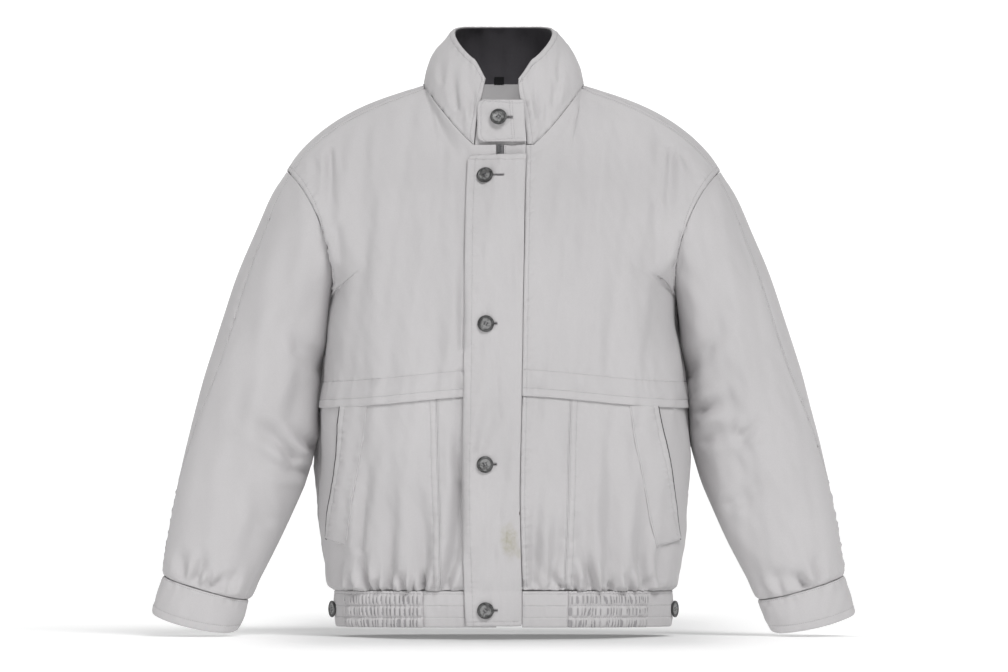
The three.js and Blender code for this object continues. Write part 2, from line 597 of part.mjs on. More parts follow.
// ---- back, one piece from side to side ----
function backPanel() {
  const surface = (a, b) => {
    const side = a < 0.5 ? -1 : 1;
    return back(side, Math.abs(2 * a - 1), b);
  };
  const columns = new Set();
  for (const u of [...steps(6, 0, NECK_COLUMN), ...SHOULDER_COLUMNS]) {
    columns.add(0.5 - u / 2);
    columns.add(0.5 + u / 2);
  }
  const fallAt = (z) => (ARMHOLE.topZ - z) / (ARMHOLE.topZ - WAIST.top);
  const sAt = (z) => lerp(CREST_SHARE, 1, fallAt(z) ** (1 / FALL_POWER));
  const armRows = BACK_ARM_ANGLES.map((angle) => sAt(heightOnArmhole(-angle)));
  const rows = [0, ...armRows, ...steps(7, armRows.at(-1), 1).slice(1)];
  const edgeNormal = (side) => (b) => {
    const angle = lerp(radians(SHOULDER.armAngle), 0, b / CREST_SHARE);
    if (b < CREST_SHARE) return sleeveNormal(ARMHOLE_RING, angle, side);
    return armholeEdge(side, -1)(surface(side < 0 ? 0 : 1, b).z);
  };
  const edges = {
    facing: () => new THREE.Vector3(0, 1, 0),
    left: edgeNormal(-1),
    right: edgeNormal(1),
    bottom: level,
    top: (a) => {
      const u = Math.abs(2 * a - 1);
      const side = a < 0.5 ? -1 : 1;
      if (u >= NECK_COLUMN + 0.01) return shoulderNormal(side, Math.min(u, 1));
      const onNeck = u < NECK_COLUMN - 0.01;
      return neckNormal(onNeck ? backNeckAngle(u) : radians(SHOULDER.neckAngle), side);
    },
  };
  return wall(surface, [...columns].sort((p, q) => p - q), rows, CLOTH, { edges });
}
add('back', backPanel());

// ---- sleeves and cuffs ----
const withPlace = (rows) => rows.map((row, i) => ({ ...row, at: i / (rows.length - 1) }));
const SLEEVE_TABLE = withPlace(SLEEVE_ROWS);
const CUFF_TABLE = withPlace(CUFF_ROWS);
function ringAt(table, at) {
  const ring = {};
  for (const key of Object.keys(table[0])) ring[key] = lookup(table, 'at', at, key);
  return ring;
}
function tube(table, side, at, angle) {
  const ring = ringAt(table, at);
  const point = sleevePoint(ring, angle, side);
  const folds = SLEEVE_FOLDS.filter((fold) => fold.side === side);
  const depth = table === SLEEVE_TABLE ? foldDepth(folds, Math.abs(point.x), point.z) : 0;
  const near = Math.abs(Math.sin(angle)) * smooth(at, 0, 0.1);
  return point.addScaledVector(sleeveNormal(ring, angle, side), -depth * near);
}
function sleevePiece(side, face) {
  const seam = (at) => radians(lookup(SLEEVE_SEAM_ROWS, 'at', at, 'angle'));
  const angleAt = (a, at) => (face > 0 ? lerp(seam(at), Math.PI, a) : lerp(seam(at), -Math.PI, a));
  const surface = (a, b) => tube(SLEEVE_TABLE, side, b, angleAt(a, b));
  const ringNormal = (row, at) => (a) => sleeveNormal(row, angleAt(a, at), side);
  const edges = {
    facing: () => new THREE.Vector3(0, -face, 0),
    top: ringNormal(SLEEVE_ROWS[0], 0),
    bottom: ringNormal(SLEEVE_ROWS.at(-1), 1),
  };
  return wall(surface, steps(10), steps(16), CLOTH, { edges });
}
function cuff(side) {
  const surface = (a, b) => tube(CUFF_TABLE, side, b, a * 2 * Math.PI);
  const edges = {
    facing: () => sleeveNormal(CUFF_ROWS[1], Math.PI, side),
    top: (a) => sleeveNormal(CUFF_ROWS[0], a * 2 * Math.PI, side),
    bottom: (a) => sleeveNormal(CUFF_ROWS.at(-1), a * 2 * Math.PI, side),
  };
  return wall(surface, steps(20).slice(0, -1), steps(2), CLOTH + 0.6, { edges, loop: true });
}
for (const [side, name] of [[-1, 'left'], [1, 'right']]) {
  add(`sleeve_front_${name}`, sleevePiece(side, 1));
  add(`sleeve_back_${name}`, sleevePiece(side, -1));
  add(`cuff_${name}`, cuff(side));
}

// ---- waistband; the gathered stretches stand up in flat ribs ----
const RIB = 2.2;
function band(from, to, ribs, columns) {
  const angleAt = (a) => lerp(from, to, a);
  const plain = (a, b) => waist(angleAt(a), b);
  const relief = (a, b) => {
    const point = plain(a, b);
    const out = outOfBody(point).normalize();
    const ridge = Math.abs(((a * ribs) % 1) - 0.5) < 0.25 ? RIB : 0;
    return point.addScaledVector(out, ridge * (0.75 + 0.25 * Math.sin(Math.PI * b)));
  };
  const edges = { facing: outOfBody, top: level, bottom: level };
  const places = steps(ribs ? ribs * 2 : columns);
  return wall(ribs ? relief : plain, places, steps(2), BAND_CLOTH, { edges, plain });
}
const ELASTIC = { leftInner: -102.4, leftOuter: -202.9, rightInner: 82.6, rightOuter: 185 };
const LEFT_OUTER = waistAngle(ELASTIC.leftOuter);
const LEFT_INNER = waistAngle(ELASTIC.leftInner);
const RIGHT_INNER = waistAngle(ELASTIC.rightInner);
const RIGHT_OUTER = waistAngle(ELASTIC.rightOuter);
add('waistband_front_left', band(LEFT_INNER, waistAngle(CENTRE.leftEdge), 0, 8));
add('waistband_elastic_left', band(LEFT_OUTER, LEFT_INNER, 22));
add('waistband_front_right', band(waistAngle(centreEdge(1, WAIST.top)), RIGHT_INNER, 0, 6));
add('waistband_elastic_right', band(RIGHT_INNER, RIGHT_OUTER, 24));
add('waistband_back', band(RIGHT_OUTER, LEFT_OUTER + 2 * Math.PI, 0, 30));

// ---- stand collar, its lining and label ----
// angle round the neck from the left end by the back to the right end, t from the seam to the top
function collarPoint(angle, t) {
  const end = radians(COLLAR.end);
  const fromEnd = Math.min(Math.abs(angle), 2 * Math.PI - Math.abs(angle)) - end;
  const cut = COLLAR.cornerCut * (1 - clamp(fromEnd / radians(COLLAR.corner), 0, 1)) ** COLLAR.cornerPower;
  const reach = t * (1 - cut);
  const point = neckRing(NECK, angle).lerp(neckRing(COLLAR_TOP, angle), reach);
  const out = unit(Math.sin(angle), -Math.cos(angle), 0.25 * reach);
  const bulge = COLLAR.bulge * (0.3 + 0.7 * smooth(fromEnd, 0, 0.9)) * 4 * reach * (1 - reach);
  point.z += SEAM_GAP;
  const lean = COLLAR.lean * smooth(reach, 0.25, 0.8) * (1 - clamp(fromEnd / COLLAR.leanReach, 0, 1)) ** 2;
  point.x -= Math.sign(Math.sin(angle)) * lean;
  point.z += 0.8 * lean;
  return point.addScaledVector(out, bulge);
}
function collarInside(angle, t, inset) {
  const normal = normalOf((a, b) => collarPoint(a, clamp(b, 0, 1)), angle, clamp(t, 0.002, 0.998));
  const point = collarPoint(angle, t);
  if (normal.x * point.x + normal.y * point.y < 0) normal.negate();
  return point.addScaledVector(normal, -inset);
}
const COLLAR_ANGLES = [
  ...NECK_ANGLES, Math.PI / 2, ...steps(6, Math.PI / 2, Math.PI).slice(1),
];
function collarLayer(inset, thickness, fromT, toT) {
  const end = radians(COLLAR.end);
  const share = (angle) => (angle - end) / (2 * Math.PI - 2 * end);
  const half = COLLAR_ANGLES.map(share);
  const columns = [...half, ...half.slice(0, -1).map((a) => 1 - a).reverse()];
  const angleAt = (a) => lerp(-end, end - 2 * Math.PI, a);
  const surface = (a, b) => collarInside(angleAt(a), lerp(toT, fromT, b), inset);
  const edges = {
    facing: outOfBody,
    bottom: (a) => {
      const angle = angleAt(a);
      const lean = neckNormal(Math.min(Math.abs(angle), 2 * Math.PI - Math.abs(angle)), 1).z;
      return unit(Math.sin(angle), -Math.cos(angle), lean * 0.9);
    },
  };
  return wall(surface, columns, steps(5), thickness, { edges });
}
add('collar', collarLayer(0, CLOTH, 0, 1));
const LINING_INSET = CLOTH + 3 * SEAM_GAP;
add('collar_lining', collarLayer(LINING_INSET, LINING_CLOTH, 0.03, 0.97), CHARCOAL, 0.8);

const LABEL = { left: -9.6, right: 0.4, low: 0.07, high: 0.2, thickness: 0.8, gap: 1.1 };
function label() {
  const inset = LINING_INSET + LINING_CLOTH + LABEL.gap;
  const surface = (a, b) => {
    const x = lerp(LABEL.left, LABEL.right, a);
    return collarInside(Math.PI - Math.asin(x / 90), lerp(LABEL.high, LABEL.low, b), inset);
  };
  const edges = { facing: () => new THREE.Vector3(0, 1, 0) };
  return wall(surface, steps(2), steps(2), LABEL.thickness, { edges });
}
add('neck_label', label(), 0x141416, 0.7);

// ---- throat ----
const THROAT = {
  top: 17.3, bottom: -35.2, left: -33.9, right: 30.4, corner: 8, taper: 3, bow: 3, gap: 0.5,
};
// The tab lies across the collar's two ends, a cloth's thickness in front of them.
function throatY(x, z) {
  let [low, high] = [0, 1];
  for (let i = 0; i < 30; i += 1) {
    const middle = (low + high) / 2;
    if (collarPoint(radians(COLLAR.end), middle).z < z) low = middle;
    else high = middle;
  }
  const end = collarPoint(radians(COLLAR.end), low);
  return end.y - CLOTH - THROAT.gap - THROAT.bow * (1 - (x / THROAT.left) ** 2);
}
function throatTab() {
  const surface = (a, b) => {
    const z = lerp(THROAT.top, THROAT.bottom, b);
    const nearTop = clamp(1 - (THROAT.top - z) / THROAT.corner, 0, 1);
    const nearBottom = clamp(1 - (z - THROAT.bottom) / THROAT.corner, 0, 1);
    const round = THROAT.corner * (1 - Math.sqrt(1 - Math.max(nearTop, nearBottom) ** 2));
    const x = lerp(THROAT.left + round, THROAT.right - THROAT.taper * (1 - b), a);
    return new THREE.Vector3(x, throatY(x, z), z);
  };
  const rows = [0, 0.02, 0.06, 0.14, 0.4, 0.6, 0.86, 0.94, 0.98, 1];
  return wall(surface, steps(6), rows, CLOTH, { edges: { facing: toFront } });
}
function throatUnderlap() {
  const end = radians(COLLAR.end);
  const surface = (a, b) => {
    const t = lerp(0.66, 0.06, b);
    const left = collarPoint(-end, t);
    const right = collarPoint(end, t);
    const point = left.clone().lerp(right, lerp(0.02, 0.98, a));
    point.y += 1;
    return point;
  };
  return wall(surface, steps(5), steps(4), CLOTH, { edges: { facing: toFront } });
}
add('throat_tab', throatTab());
add('throat_underlap', throatUnderlap());

// ---- storm flap, zip and placket ----
function strip(leftAt, rightAt, top, bottom, offsetAt, columns, rows, thickness) {
  const surface = (a, b) => {
    const z = lerp(top, bottom, b);
    const x = lerp(leftAt(z), rightAt(z), a);
    return onFront(x, z, offsetAt(x, z));
  };
  return wall(surface, columns, rows, thickness, { edges: { facing: toFront } });
}
function flapLeft(z) {
  const near = clamp(1 - (FLAP.top - z) / FLAP.corner, 0, 1);
  return lookup(FLAP_ROWS, 'z', z, 'x') + FLAP.corner * (1 - Math.sqrt(1 - near * near));
}
function flapOffset(x, z) {
  const offRoot = smooth(flapSeam(z) - x, 0, 14);
  const nearNeck = FLAP.neckRise * smooth(z, -230, -150);
  return FLAP.offset * offRoot + nearNeck + lapRise(x, z) * (z < hemZ(x) - 3 ? 0.35 : 1);
}
const flapShare = (z) => (FLAP.top - z) / (FLAP.top - FLAP.bottom);
const HEM_SHARE = flapShare(hemZ(0));
const flapRows = [
  0, 0.003, 0.012, ...steps(6, 0.05, HEM_SHARE - 0.06), HEM_SHARE - 0.02, HEM_SHARE, HEM_SHARE + 0.02,
  ...steps(4, HEM_SHARE + 0.06, flapShare(WAIST.top)), flapShare(FLAP_BUTTONS.at(-1).z), 1,
];
const flapColumns = [0, 0.33, 0.66, 0.83, 1];
add('storm_flap', strip(flapLeft, flapSeam, FLAP.top, FLAP.bottom, flapOffset, flapColumns, flapRows, CLOTH));
const ZIP = { top: -39, bottom: -652, thickness: 1.6, offset: -0.6 };
const zip = strip(() => CENTRE.zipLeft, () => CENTRE.zipRight, ZIP.top, ZIP.bottom, () => ZIP.offset,
  steps(1), steps(16), ZIP.thickness);
add('zip', zip, 0x6a6a6c, 0.5);
const PLACKET_OFFSET = -(CLOTH + 2 * SEAM_GAP); // it lies behind the flap's sewn edge
const placket = strip(() => CENTRE.placketLeft, flapSeam, ZIP.top, ZIP.bottom, () => PLACKET_OFFSET,
  steps(2), steps(16), CLOTH);
add('placket', placket);

// ---- pocket welts ----
const WELT = { top: -380, bottom: -543.5, slant: 11.5, offset: 2.9 };
// x away from the middle; the right welt is sewn a little nearer to it than the left
const WELT_LEFT = { topOuter: 205.4, topInner: 172, bottomOuter: 224, bottomInner: 201.6 };
const WELT_RIGHT = { topOuter: 194.4, topInner: 159.5, bottomOuter: 222, bottomInner: 193.3 };
function welt(side, edges) {
  const surface = (a, b) => {
    const z = lerp(WELT.top, WELT.bottom, b) - WELT.slant * a * b;
    const outer = lerp(edges.topOuter, edges.bottomOuter, b ** 0.8);
    const inner = lerp(edges.topInner, edges.bottomInner, b);
    return onFront(side * lerp(outer, inner, a), z, WELT.offset);
  };
  return wall(surface, steps(4), steps(10), CLOTH, { edges: { facing: outOfBody } });
}
add('pocket_welt_left', welt(-1, WELT_LEFT));
add('pocket_welt_right', welt(1, WELT_RIGHT));

// ---- buttons ----
function buttonGeometry() {
  const { radius, thickness, dish } = BUTTON;
  const profile = [
    [0, 0], [radius * 0.82, 0], [radius, thickness * 0.4], [radius * 0.97, thickness * 0.85],
    [radius * 0.86, thickness], [radius * 0.68, thickness - dish], [0, thickness - dish],
  ];
  return new THREE.LatheGeometry(profile.map(([r, h]) => new THREE.Vector2(r, h)), BUTTON.sides);
}
const BUTTON_COLOR = 0x5c5c60;
function placeButton(name, point, outward) {
  const mesh = add(name, buttonGeometry(), BUTTON_COLOR, 0.35);
  mesh.position.copy(point).addScaledVector(outward, BUTTON.seat);
  mesh.quaternion.setFromUnitVectors(new THREE.Vector3(0, 1, 0), outward);
}
FLAP_BUTTONS.forEach(({ x, z }, i) => {
  const lift = flapOffset(x, z);
  const surface = (a, b) => onFront(x + a, z + b, lift);
  const outward = normalOf(surface, 0, 0, 6);
  if (outward.y > 0) outward.negate();
  placeButton(`button_flap_${i + 1}`, onFront(x, z, lift), outward);
});
function onThroat(a, b) {
  const [x, z] = [THROAT_BUTTON.x + a, THROAT_BUTTON.z + b];
  return new THREE.Vector3(x, throatY(x, z), z);
}
const throatOut = normalOf(onThroat, 0, 0, 8);
placeButton('button_throat', onThroat(0, 0), throatOut.y > 0 ? throatOut.negate() : throatOut);
for (const [side, name] of [[-1, 'left'], [1, 'right']]) {
  const facing = radians(WAIST_BUTTON.facing);
  const outward = unit(side * Math.sin(facing), -Math.cos(facing), 0);
  const point = waist(side * radians(WAIST_BUTTON.angle), WAIST_BUTTON.share);
  placeButton(`button_waist_${name}`, point, outward);
}

export default jacket;
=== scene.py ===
import math

import bpy
import numpy as np
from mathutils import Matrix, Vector


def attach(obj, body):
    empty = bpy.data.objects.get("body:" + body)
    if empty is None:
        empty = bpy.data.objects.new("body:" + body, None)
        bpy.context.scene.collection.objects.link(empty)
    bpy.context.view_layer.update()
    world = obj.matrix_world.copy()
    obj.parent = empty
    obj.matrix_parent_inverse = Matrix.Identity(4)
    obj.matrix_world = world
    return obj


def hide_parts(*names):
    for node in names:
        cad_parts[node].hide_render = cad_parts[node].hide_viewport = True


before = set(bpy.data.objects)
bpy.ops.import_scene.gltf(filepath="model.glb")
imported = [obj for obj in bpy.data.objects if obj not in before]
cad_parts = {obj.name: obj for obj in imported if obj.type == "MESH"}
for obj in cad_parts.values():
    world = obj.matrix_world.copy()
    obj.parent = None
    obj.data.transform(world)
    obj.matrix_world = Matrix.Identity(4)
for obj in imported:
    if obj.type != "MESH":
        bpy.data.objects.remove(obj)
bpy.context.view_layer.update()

# Millimetres until a mesh is made; +X right, the front faces -Y, +Z up, origin at the neck seam.
MM = 0.001


# ---- camera, straight on to the front, 1.28 mm to a pixel ----
FIELD = 1.290
DISTANCE = 24.0
CENTRE = (0.0006, -0.05, -0.285)
cam_data = bpy.data.cameras.new("camera")
cam_data.sensor_width = 36.0
cam_data.lens = 36.0 * DISTANCE / FIELD
cam_data.clip_end = 200.0
camera = bpy.data.objects.new("camera", cam_data)
bpy.context.collection.objects.link(camera)
camera.location = (CENTRE[0], CENTRE[1] - DISTANCE, CENTRE[2])
camera.rotation_euler = (math.pi / 2, 0, 0)
bpy.context.scene.camera = camera
bpy.context.scene.view_settings.view_transform = "Standard"


# ---- small maths ----
def lerp(a, b, t):
    return a + (b - a) * t


def smooth(value, low, high):
    t = np.clip((value - low) / (high - low), 0, 1)
    return t * t * (3 - 2 * t)


def vec(x, y, z):
    return np.stack(np.broadcast_arrays(x, y, z), -1).astype(float)


def unit(v):
    return v / np.maximum(np.linalg.norm(v, axis=-1, keepdims=True), 1e-9)


def signed_power(value, power):
    return np.sign(value) * np.abs(value) ** power


def curve(keys, values, at):
    """A smooth curve through a table's values."""
    k, v = np.asarray(keys, float), np.asarray(values, float)
    if k[0] > k[-1]:
        k, v = k[::-1], v[::-1]
    slope = np.diff(v) / np.diff(k)
    m = np.concatenate([[slope[0]], (slope[:-1] + slope[1:]) / 2, [slope[-1]]])
    at = np.clip(at, k[0], k[-1])
    i = np.clip(np.searchsorted(k, at, side="right") - 1, 0, len(k) - 2)
    h = k[i + 1] - k[i]
    t = (at - k[i]) / h
    ends = v[i] * (1 - t) ** 2 * (1 + 2 * t) + v[i + 1] * t * t * (3 - 2 * t)
    return ends + h * (m[i] * t * (1 - t) ** 2 - m[i + 1] * t * t * (1 - t))


def waves(coords, wavelengths, seed, count=7):
    """Smooth seeded noise of about unit size; wavelengths has one length for each coordinate."""
    rng = np.random.default_rng(seed)
    total = 0.0
    for _ in range(count):
        phase = rng.uniform(0, 2 * math.pi)
        for value, length in zip(coords, wavelengths):
            phase = phase + value * rng.normal(0, 1) * 2 * math.pi / length
        total = total + np.sin(phase)
    return total / math.sqrt(count / 2)


# ---- the jacket's form, as the solids have it ----
SIDES = ((-1, "left"), (1, "right"))
SEAM_GAP = 0.3
CLOTH = 2.0
ROUNDNESS = 0.8
COLUMN_EASE = 1.25
NECK = (102, -5, 80, 40, 96, 4.8)  # half width, y, depth, back height, drop, power
COLLAR_TOP = (63.5, -3, 66, 113, 59, 2.9)
COLLAR_END, COLLAR_CORNER = math.radians(22), math.radians(14.7)
CORNER_CUT, COLLAR_BULGE, LEAN, RIGHT_END = 0.19, 10, 3.9, 7.5
SHOULDER_NECK, SHOULDER_ARM = math.radians(80), math.radians(20)
SHOULDER_BOW, SHOULDER_RISE = 80, 4
# outer x, z, inner x, z, half depth, y, scoop, hang
ARM_RING = (278, -75, 222, -238, 82, 2, 20, 0)
ARM_TOP, ARM_BOTTOM = -75, -238
UNDERARM = dict(depth=62, top=-180, bottom=-330, reach=9)
YOKE = dict(power=3.2, top=-90, bottom=-215, front=0.22, back=0.2)
WAIST = dict(top=-610, bottom=-657, half=216.5, front=140, back=136, taper=2)
ZIP_LEFT, ZIP_RIGHT, CENTRE_LEFT, PLACKET_LEFT = -8.8, -0.2, -9.2, 0.3
LAP = dict(rise=3.2, length=34, flat=10, tuck=6)
HEM = dict(centre=-361, fall=16, half=235)
FRONT_SEAM = (86, 79)
CREST_SHARE, FALL_POWER = 0.06, 1.15

# z, half width, centre front, centre back
BODY = np.array([
    (40, 222, 80, 75), (0, 222, 82, 104), (-56, 222, 87, 126), (-110, 222, 114, 140),
    (-170, 222, 136, 147), (-238, 222, 148, 150), (-270, 223.5, 151, 150), (-328, 232.5, 154, 149),
    (-377, 236, 156, 148), (-456, 238, 158, 148), (-508, 235, 157, 149), (-552, 230, 153, 147),
    (-591, 221, 145, 140), (-610, 216.5, 140, 136),
], float)
# z, x of the flap's sewn edge; z, x of its free edge
SEAM_ROWS = np.array([(-30, 29), (-80, 28), (-362, 23.3), (-495, 21), (-610, 23.7), (-660, 23.7)], float)
FLAP_ROWS = np.array(
    [(-53, -46), (-110, -48.4), (-362, -51.2), (-495, -53.1), (-610, -50), (-655, -48.5)], float)
FLAP = dict(top=-53, bottom=-655, corner=8, offset=2.6, rise=1.8)
# outer x, z, inner x, z, half depth, y, scoop, hang
SLEEVE = np.array([
    (278.4, -75, 222.6, -238, 82, 2, 20, 0), (298, -106, 226.2, -262, 81, 4, 15, 0),
    (318, -151, 232, -300, 78, 7, 8, 0), (338, -198, 238, -340, 75, 8, 3, 0),
    (361, -266, 241.2, -385, 72, 7, 0, 0), (385, -341, 243, -432, 69, 4, 0, 0),
    (401, -402, 252, -468, 65, 0, 0, 1), (415, -462, 266, -502, 61, -5, 0, 2),
    (426, -515, 284, -541, 56, -11, 0, 3), (433, -557, 304, -581, 49, -16, 0, 4),
    (436, -591, 326, -622, 39, -20, 0, 5),
], float)
CUFF = np.array([
    (436.4, -591.5, 326.4, -622.5, 39, -20, 0, 5), (445, -616, 333, -645, 38, -21, 0, 7),
    (450.5, -639, 342, -662.5, 37, -22, 0, 9),
], float)
SLEEVE_SEAM = np.array([(0, 20), (0.25, 33), (0.45, 36), (0.6, 22), (0.75, 6), (1, 2)], float)


def neck_ring(ring, angle):
    half, y, depth, back, drop, power = ring
    fall = drop * ((1 + np.cos(angle)) / 2) ** power
    return vec(half * np.sin(angle), y - depth * np.cos(angle), back - fall)


def sleeve_point(row, angle):
    out_x, out_z, in_x, in_z, depth, y, scoop, hang = row
    hx, hz = (out_x - in_x) / 2, (out_z - in_z) / 2
    length = np.hypot(hx, hz)
    s, c = np.sin(angle), np.cos(angle)
    pull = scoop * np.abs(s) ** 1.5 * np.where(s > 0, 1, 0.6) / length
    x = (out_x + in_x) / 2 + hx * c - hz * pull
    z = (out_z + in_z) / 2 + hz * c + hx * pull - hang * s
    return vec(x, y - depth * s, z)


def arm_edge(face):
    points = sleeve_point(ARM_RING, face * np.linspace(0, math.pi, 4001))[::-1]
    points[:, 2] = np.maximum.accumulate(points[:, 2])
    return points


EDGES = {1: arm_edge(1), -1: arm_edge(-1)}


def body_edge(z, face):
    ring = EDGES[face]
    low = z < ARM_BOTTOM
    x = np.where(low, curve(BODY[:, 0], BODY[:, 1], z), np.interp(z, ring[:, 2], ring[:, 0]))
    return x, np.where(low, 0.0, np.interp(z, ring[:, 2], ring[:, 1]))


SEAM_NECK = neck_ring(NECK, SHOULDER_NECK)
SEAM_ARM = sleeve_point(ARM_RING, SHOULDER_ARM)
CREST_NECK = neck_ring(NECK, math.pi / 2) - SEAM_NECK
CREST_ARM = sleeve_point(ARM_RING, 0.0) - SEAM_ARM


def shoulder_seam(t):
    t = np.clip(t, 0, 1)
    point = SEAM_NECK + (SEAM_ARM - SEAM_NECK) * t[..., None]
    point[..., 2] += SHOULDER_BOW * t**1.3 * (1 - t) ** 0.7
    return point


def shoulder_crest(t):
    t = np.clip(t, 0, 1)
    point = shoulder_seam(t) + CREST_NECK + (CREST_ARM - CREST_NECK) * t[..., None]
    point[..., 2] += SHOULDER_RISE * np.sin(math.pi * t) ** 0.6
    return point


def column_angle(u):
    return math.pi / 2 * np.clip(u, 0, 1) ** COLUMN_EASE


def column_share(u):
    return np.sin(column_angle(u)) ** ROUNDNESS


def column_at(share):
    angle = np.arcsin(np.clip(share, 0, 1) ** (1 / ROUNDNESS))
    return (angle / (math.pi / 2)) ** (1 / COLUMN_EASE)


def section_y(u, z, edge_y, face):
    centre = -curve(BODY[:, 0], BODY[:, 2], z) if face > 0 else curve(BODY[:, 0], BODY[:, 3], z)
    share = column_share(u)
    opened = share ** YOKE["power"]
    closed = 1 - np.abs(np.cos(column_angle(u))) ** ROUNDNESS
    soft = -face * UNDERARM["depth"] * (1 - smooth(-z, -UNDERARM["top"], -UNDERARM["bottom"]))
    y = lerp(centre, soft, lerp(opened, closed, smooth(-z, -YOKE["top"], -YOKE["bottom"])))
    return y + (edge_y - soft) * share ** UNDERARM["reach"]


NECK_COLUMN = float(column_at(SEAM_NECK[0] / SEAM_ARM[0]))


def shoulder_share(u):
    return (column_share(u) * SEAM_ARM[0] - SEAM_NECK[0]) / (SEAM_ARM[0] - SEAM_NECK[0])


def front_top(u):
    neck_angle = np.arcsin(np.clip(column_share(u) * SEAM_ARM[0] / NECK[0], 0, 1))
    neck = neck_ring(NECK, neck_angle)
    neck[..., 2] = np.where(neck_angle < COLLAR_END, neck_ring(NECK, COLLAR_END)[2], neck[..., 2])
    return np.where((u > NECK_COLUMN)[..., None], shoulder_seam(shoulder_share(u)), neck)


def front(side, u, f):
    top = front_top(u)
    z = lerp(top[..., 2], WAIST["top"], f)
    edge_x, edge_y = body_edge(lerp(SEAM_ARM[2], WAIST["top"], f), 1)
    below = (1 - np.clip(f / YOKE["front"], 0, 1)) ** 2
    y = section_y(u, z, edge_y, 1)
    y = y + (top[..., 1] - section_y(u, top[..., 2], SEAM_ARM[1], 1)) * below
    return vec(side * column_share(u) * edge_x, y, z)


def waist_angle(x):
    return np.arcsin(signed_power(np.clip(x / WAIST["half"], -1, 1), 1 / ROUNDNESS))


def waist(angle, t):
    grow = 1.5 * np.sin(math.pi * t) - WAIST["taper"] * t
    depth = np.where(np.cos(angle) > 0, WAIST["front"], WAIST["back"]) + grow
    return vec(
        (WAIST["half"] + grow) * signed_power(np.sin(angle), ROUNDNESS),
        -depth * signed_power(np.cos(angle), ROUNDNESS),
        lerp(WAIST["top"] - SEAM_GAP, WAIST["bottom"], t))


def front_point(x, z):
    """The front's cloth at a point of the front view."""
    x, z = np.broadcast_arrays(np.asarray(x, float), np.asarray(z, float))
    u, f = np.full(x.shape, 0.5), np.full(x.shape, 0.5)
    for _ in range(14):
        edge = body_edge(lerp(SEAM_ARM[2], WAIST["top"], f), 1)[0]
        u = column_at(np.abs(x) / edge)
        top = front_top(u)[..., 2]
        f = np.clip((z - top) / (WAIST["top"] - top), 0, 1)
    upper = front(np.where(x < 0, -1.0, 1.0), u, f)
    share = np.clip((WAIST["top"] - z) / (WAIST["top"] - WAIST["bottom"]), 0, 1)
    return np.where((z < WAIST["top"])[..., None], waist(waist_angle(x), share), upper)


def front_normal(x, z, reach=1.5):
    across = front_point(x + reach, z) - front_point(x - reach, z)
    up = front_point(x, z + reach) - front_point(x, z - reach)
    return unit(np.cross(across, up))


def on_front(x, z, offset):
    return front_point(x, z) + front_normal(x, z) * np.asarray(offset)[..., None]


def back(side, u, s):
    on_neck = u < NECK_COLUMN - 1e-6
    neck_angle = math.pi * (1 - np.clip(u / NECK_COLUMN, 0, 1) / 2)
    t = np.clip(shoulder_share(u), 0, 1)
    top = np.where(on_neck[..., None], neck_ring(NECK, neck_angle), shoulder_crest(t))
    f = np.clip((s - CREST_SHARE) / (1 - CREST_SHARE), 0, 1)
    fall = f**FALL_POWER
    z = lerp(top[..., 2], WAIST["top"], fall)
    edge_x, edge_y = body_edge(lerp(ARM_TOP, WAIST["top"], fall), -1)
    below = (1 - np.clip(f / YOKE["back"], 0, 1)) ** 2
    share = column_share(u)
    x = share * edge_x + (top[..., 0] - share * ARM_RING[0]) * below
    y = section_y(u, z, edge_y, -1)
    y = y + (top[..., 1] - section_y(u, top[..., 2], ARM_RING[5], -1)) * below
    a = np.clip(s / CREST_SHARE, 0, 1)
    seam = shoulder_seam(t)
    crest = vec(
        lerp(seam[..., 0], top[..., 0], a), lerp(seam[..., 1], top[..., 1], a),
        lerp(seam[..., 2], top[..., 2], np.sin(a * math.pi / 2)))
    over = (~on_neck) & (s < CREST_SHARE)
    point = np.where(over[..., None], crest, vec(x, y, z))
    point[..., 0] *= side
    return point


def ring_at(table, at):
    places = np.linspace(0, 1, len(table))
    return [curve(places, table[:, i], at) for i in range(8)]


def tube(table, at, angle):
    return sleeve_point(ring_at(table, at), angle)


def collar_point(angle, t):
    from_end = np.minimum(np.abs(angle), 2 * math.pi - np.abs(angle)) - COLLAR_END
    cut = CORNER_CUT * (1 - np.clip(from_end / COLLAR_CORNER, 0, 1)) ** 1.5
    reach = t * (1 - cut)
    low, high = neck_ring(NECK, angle), neck_ring(COLLAR_TOP, angle)
    point = lerp(low, high, reach[..., None])
    out = unit(vec(np.sin(angle), -np.cos(angle), 0.25 * reach))
    bulge = COLLAR_BULGE * (0.3 + 0.7 * smooth(from_end, 0, 0.9)) * 4 * reach * (1 - reach)
    point[..., 2] += SEAM_GAP
    lean = LEAN * smooth(reach, 0.25, 0.8) * (1 - np.clip(from_end / 0.36, 0, 1)) ** 2
    point[..., 0] -= np.sign(np.sin(angle)) * lean
    point[..., 2] += 0.8 * lean
    right = np.where(np.sin(angle) > 0, RIGHT_END * (1 - 0.75 * smooth(reach, 0.55, 1)), 0)
    right = right * (1 - np.clip(from_end / 0.4, 0, 1)) ** 2
    point[..., 0] -= right
    point[..., 2] -= 1.05 * right * smooth(from_end, 0, 0.08) * (1 - smooth(reach, 0.0, 0.5))
    return point + out * bulge[..., None]


def throat_y(x, z):
    shares = np.linspace(0, 1, 201)
    ends = collar_point(np.full(201, COLLAR_END), shares)
    end_y = np.interp(z, ends[:, 2], ends[:, 1])
    return end_y - CLOTH - 2.0 - 3.0 * (1 - (x / -33.9) ** 2)


# ---- creases, each a soft trough ----
CREASE_GAIN = 2.15
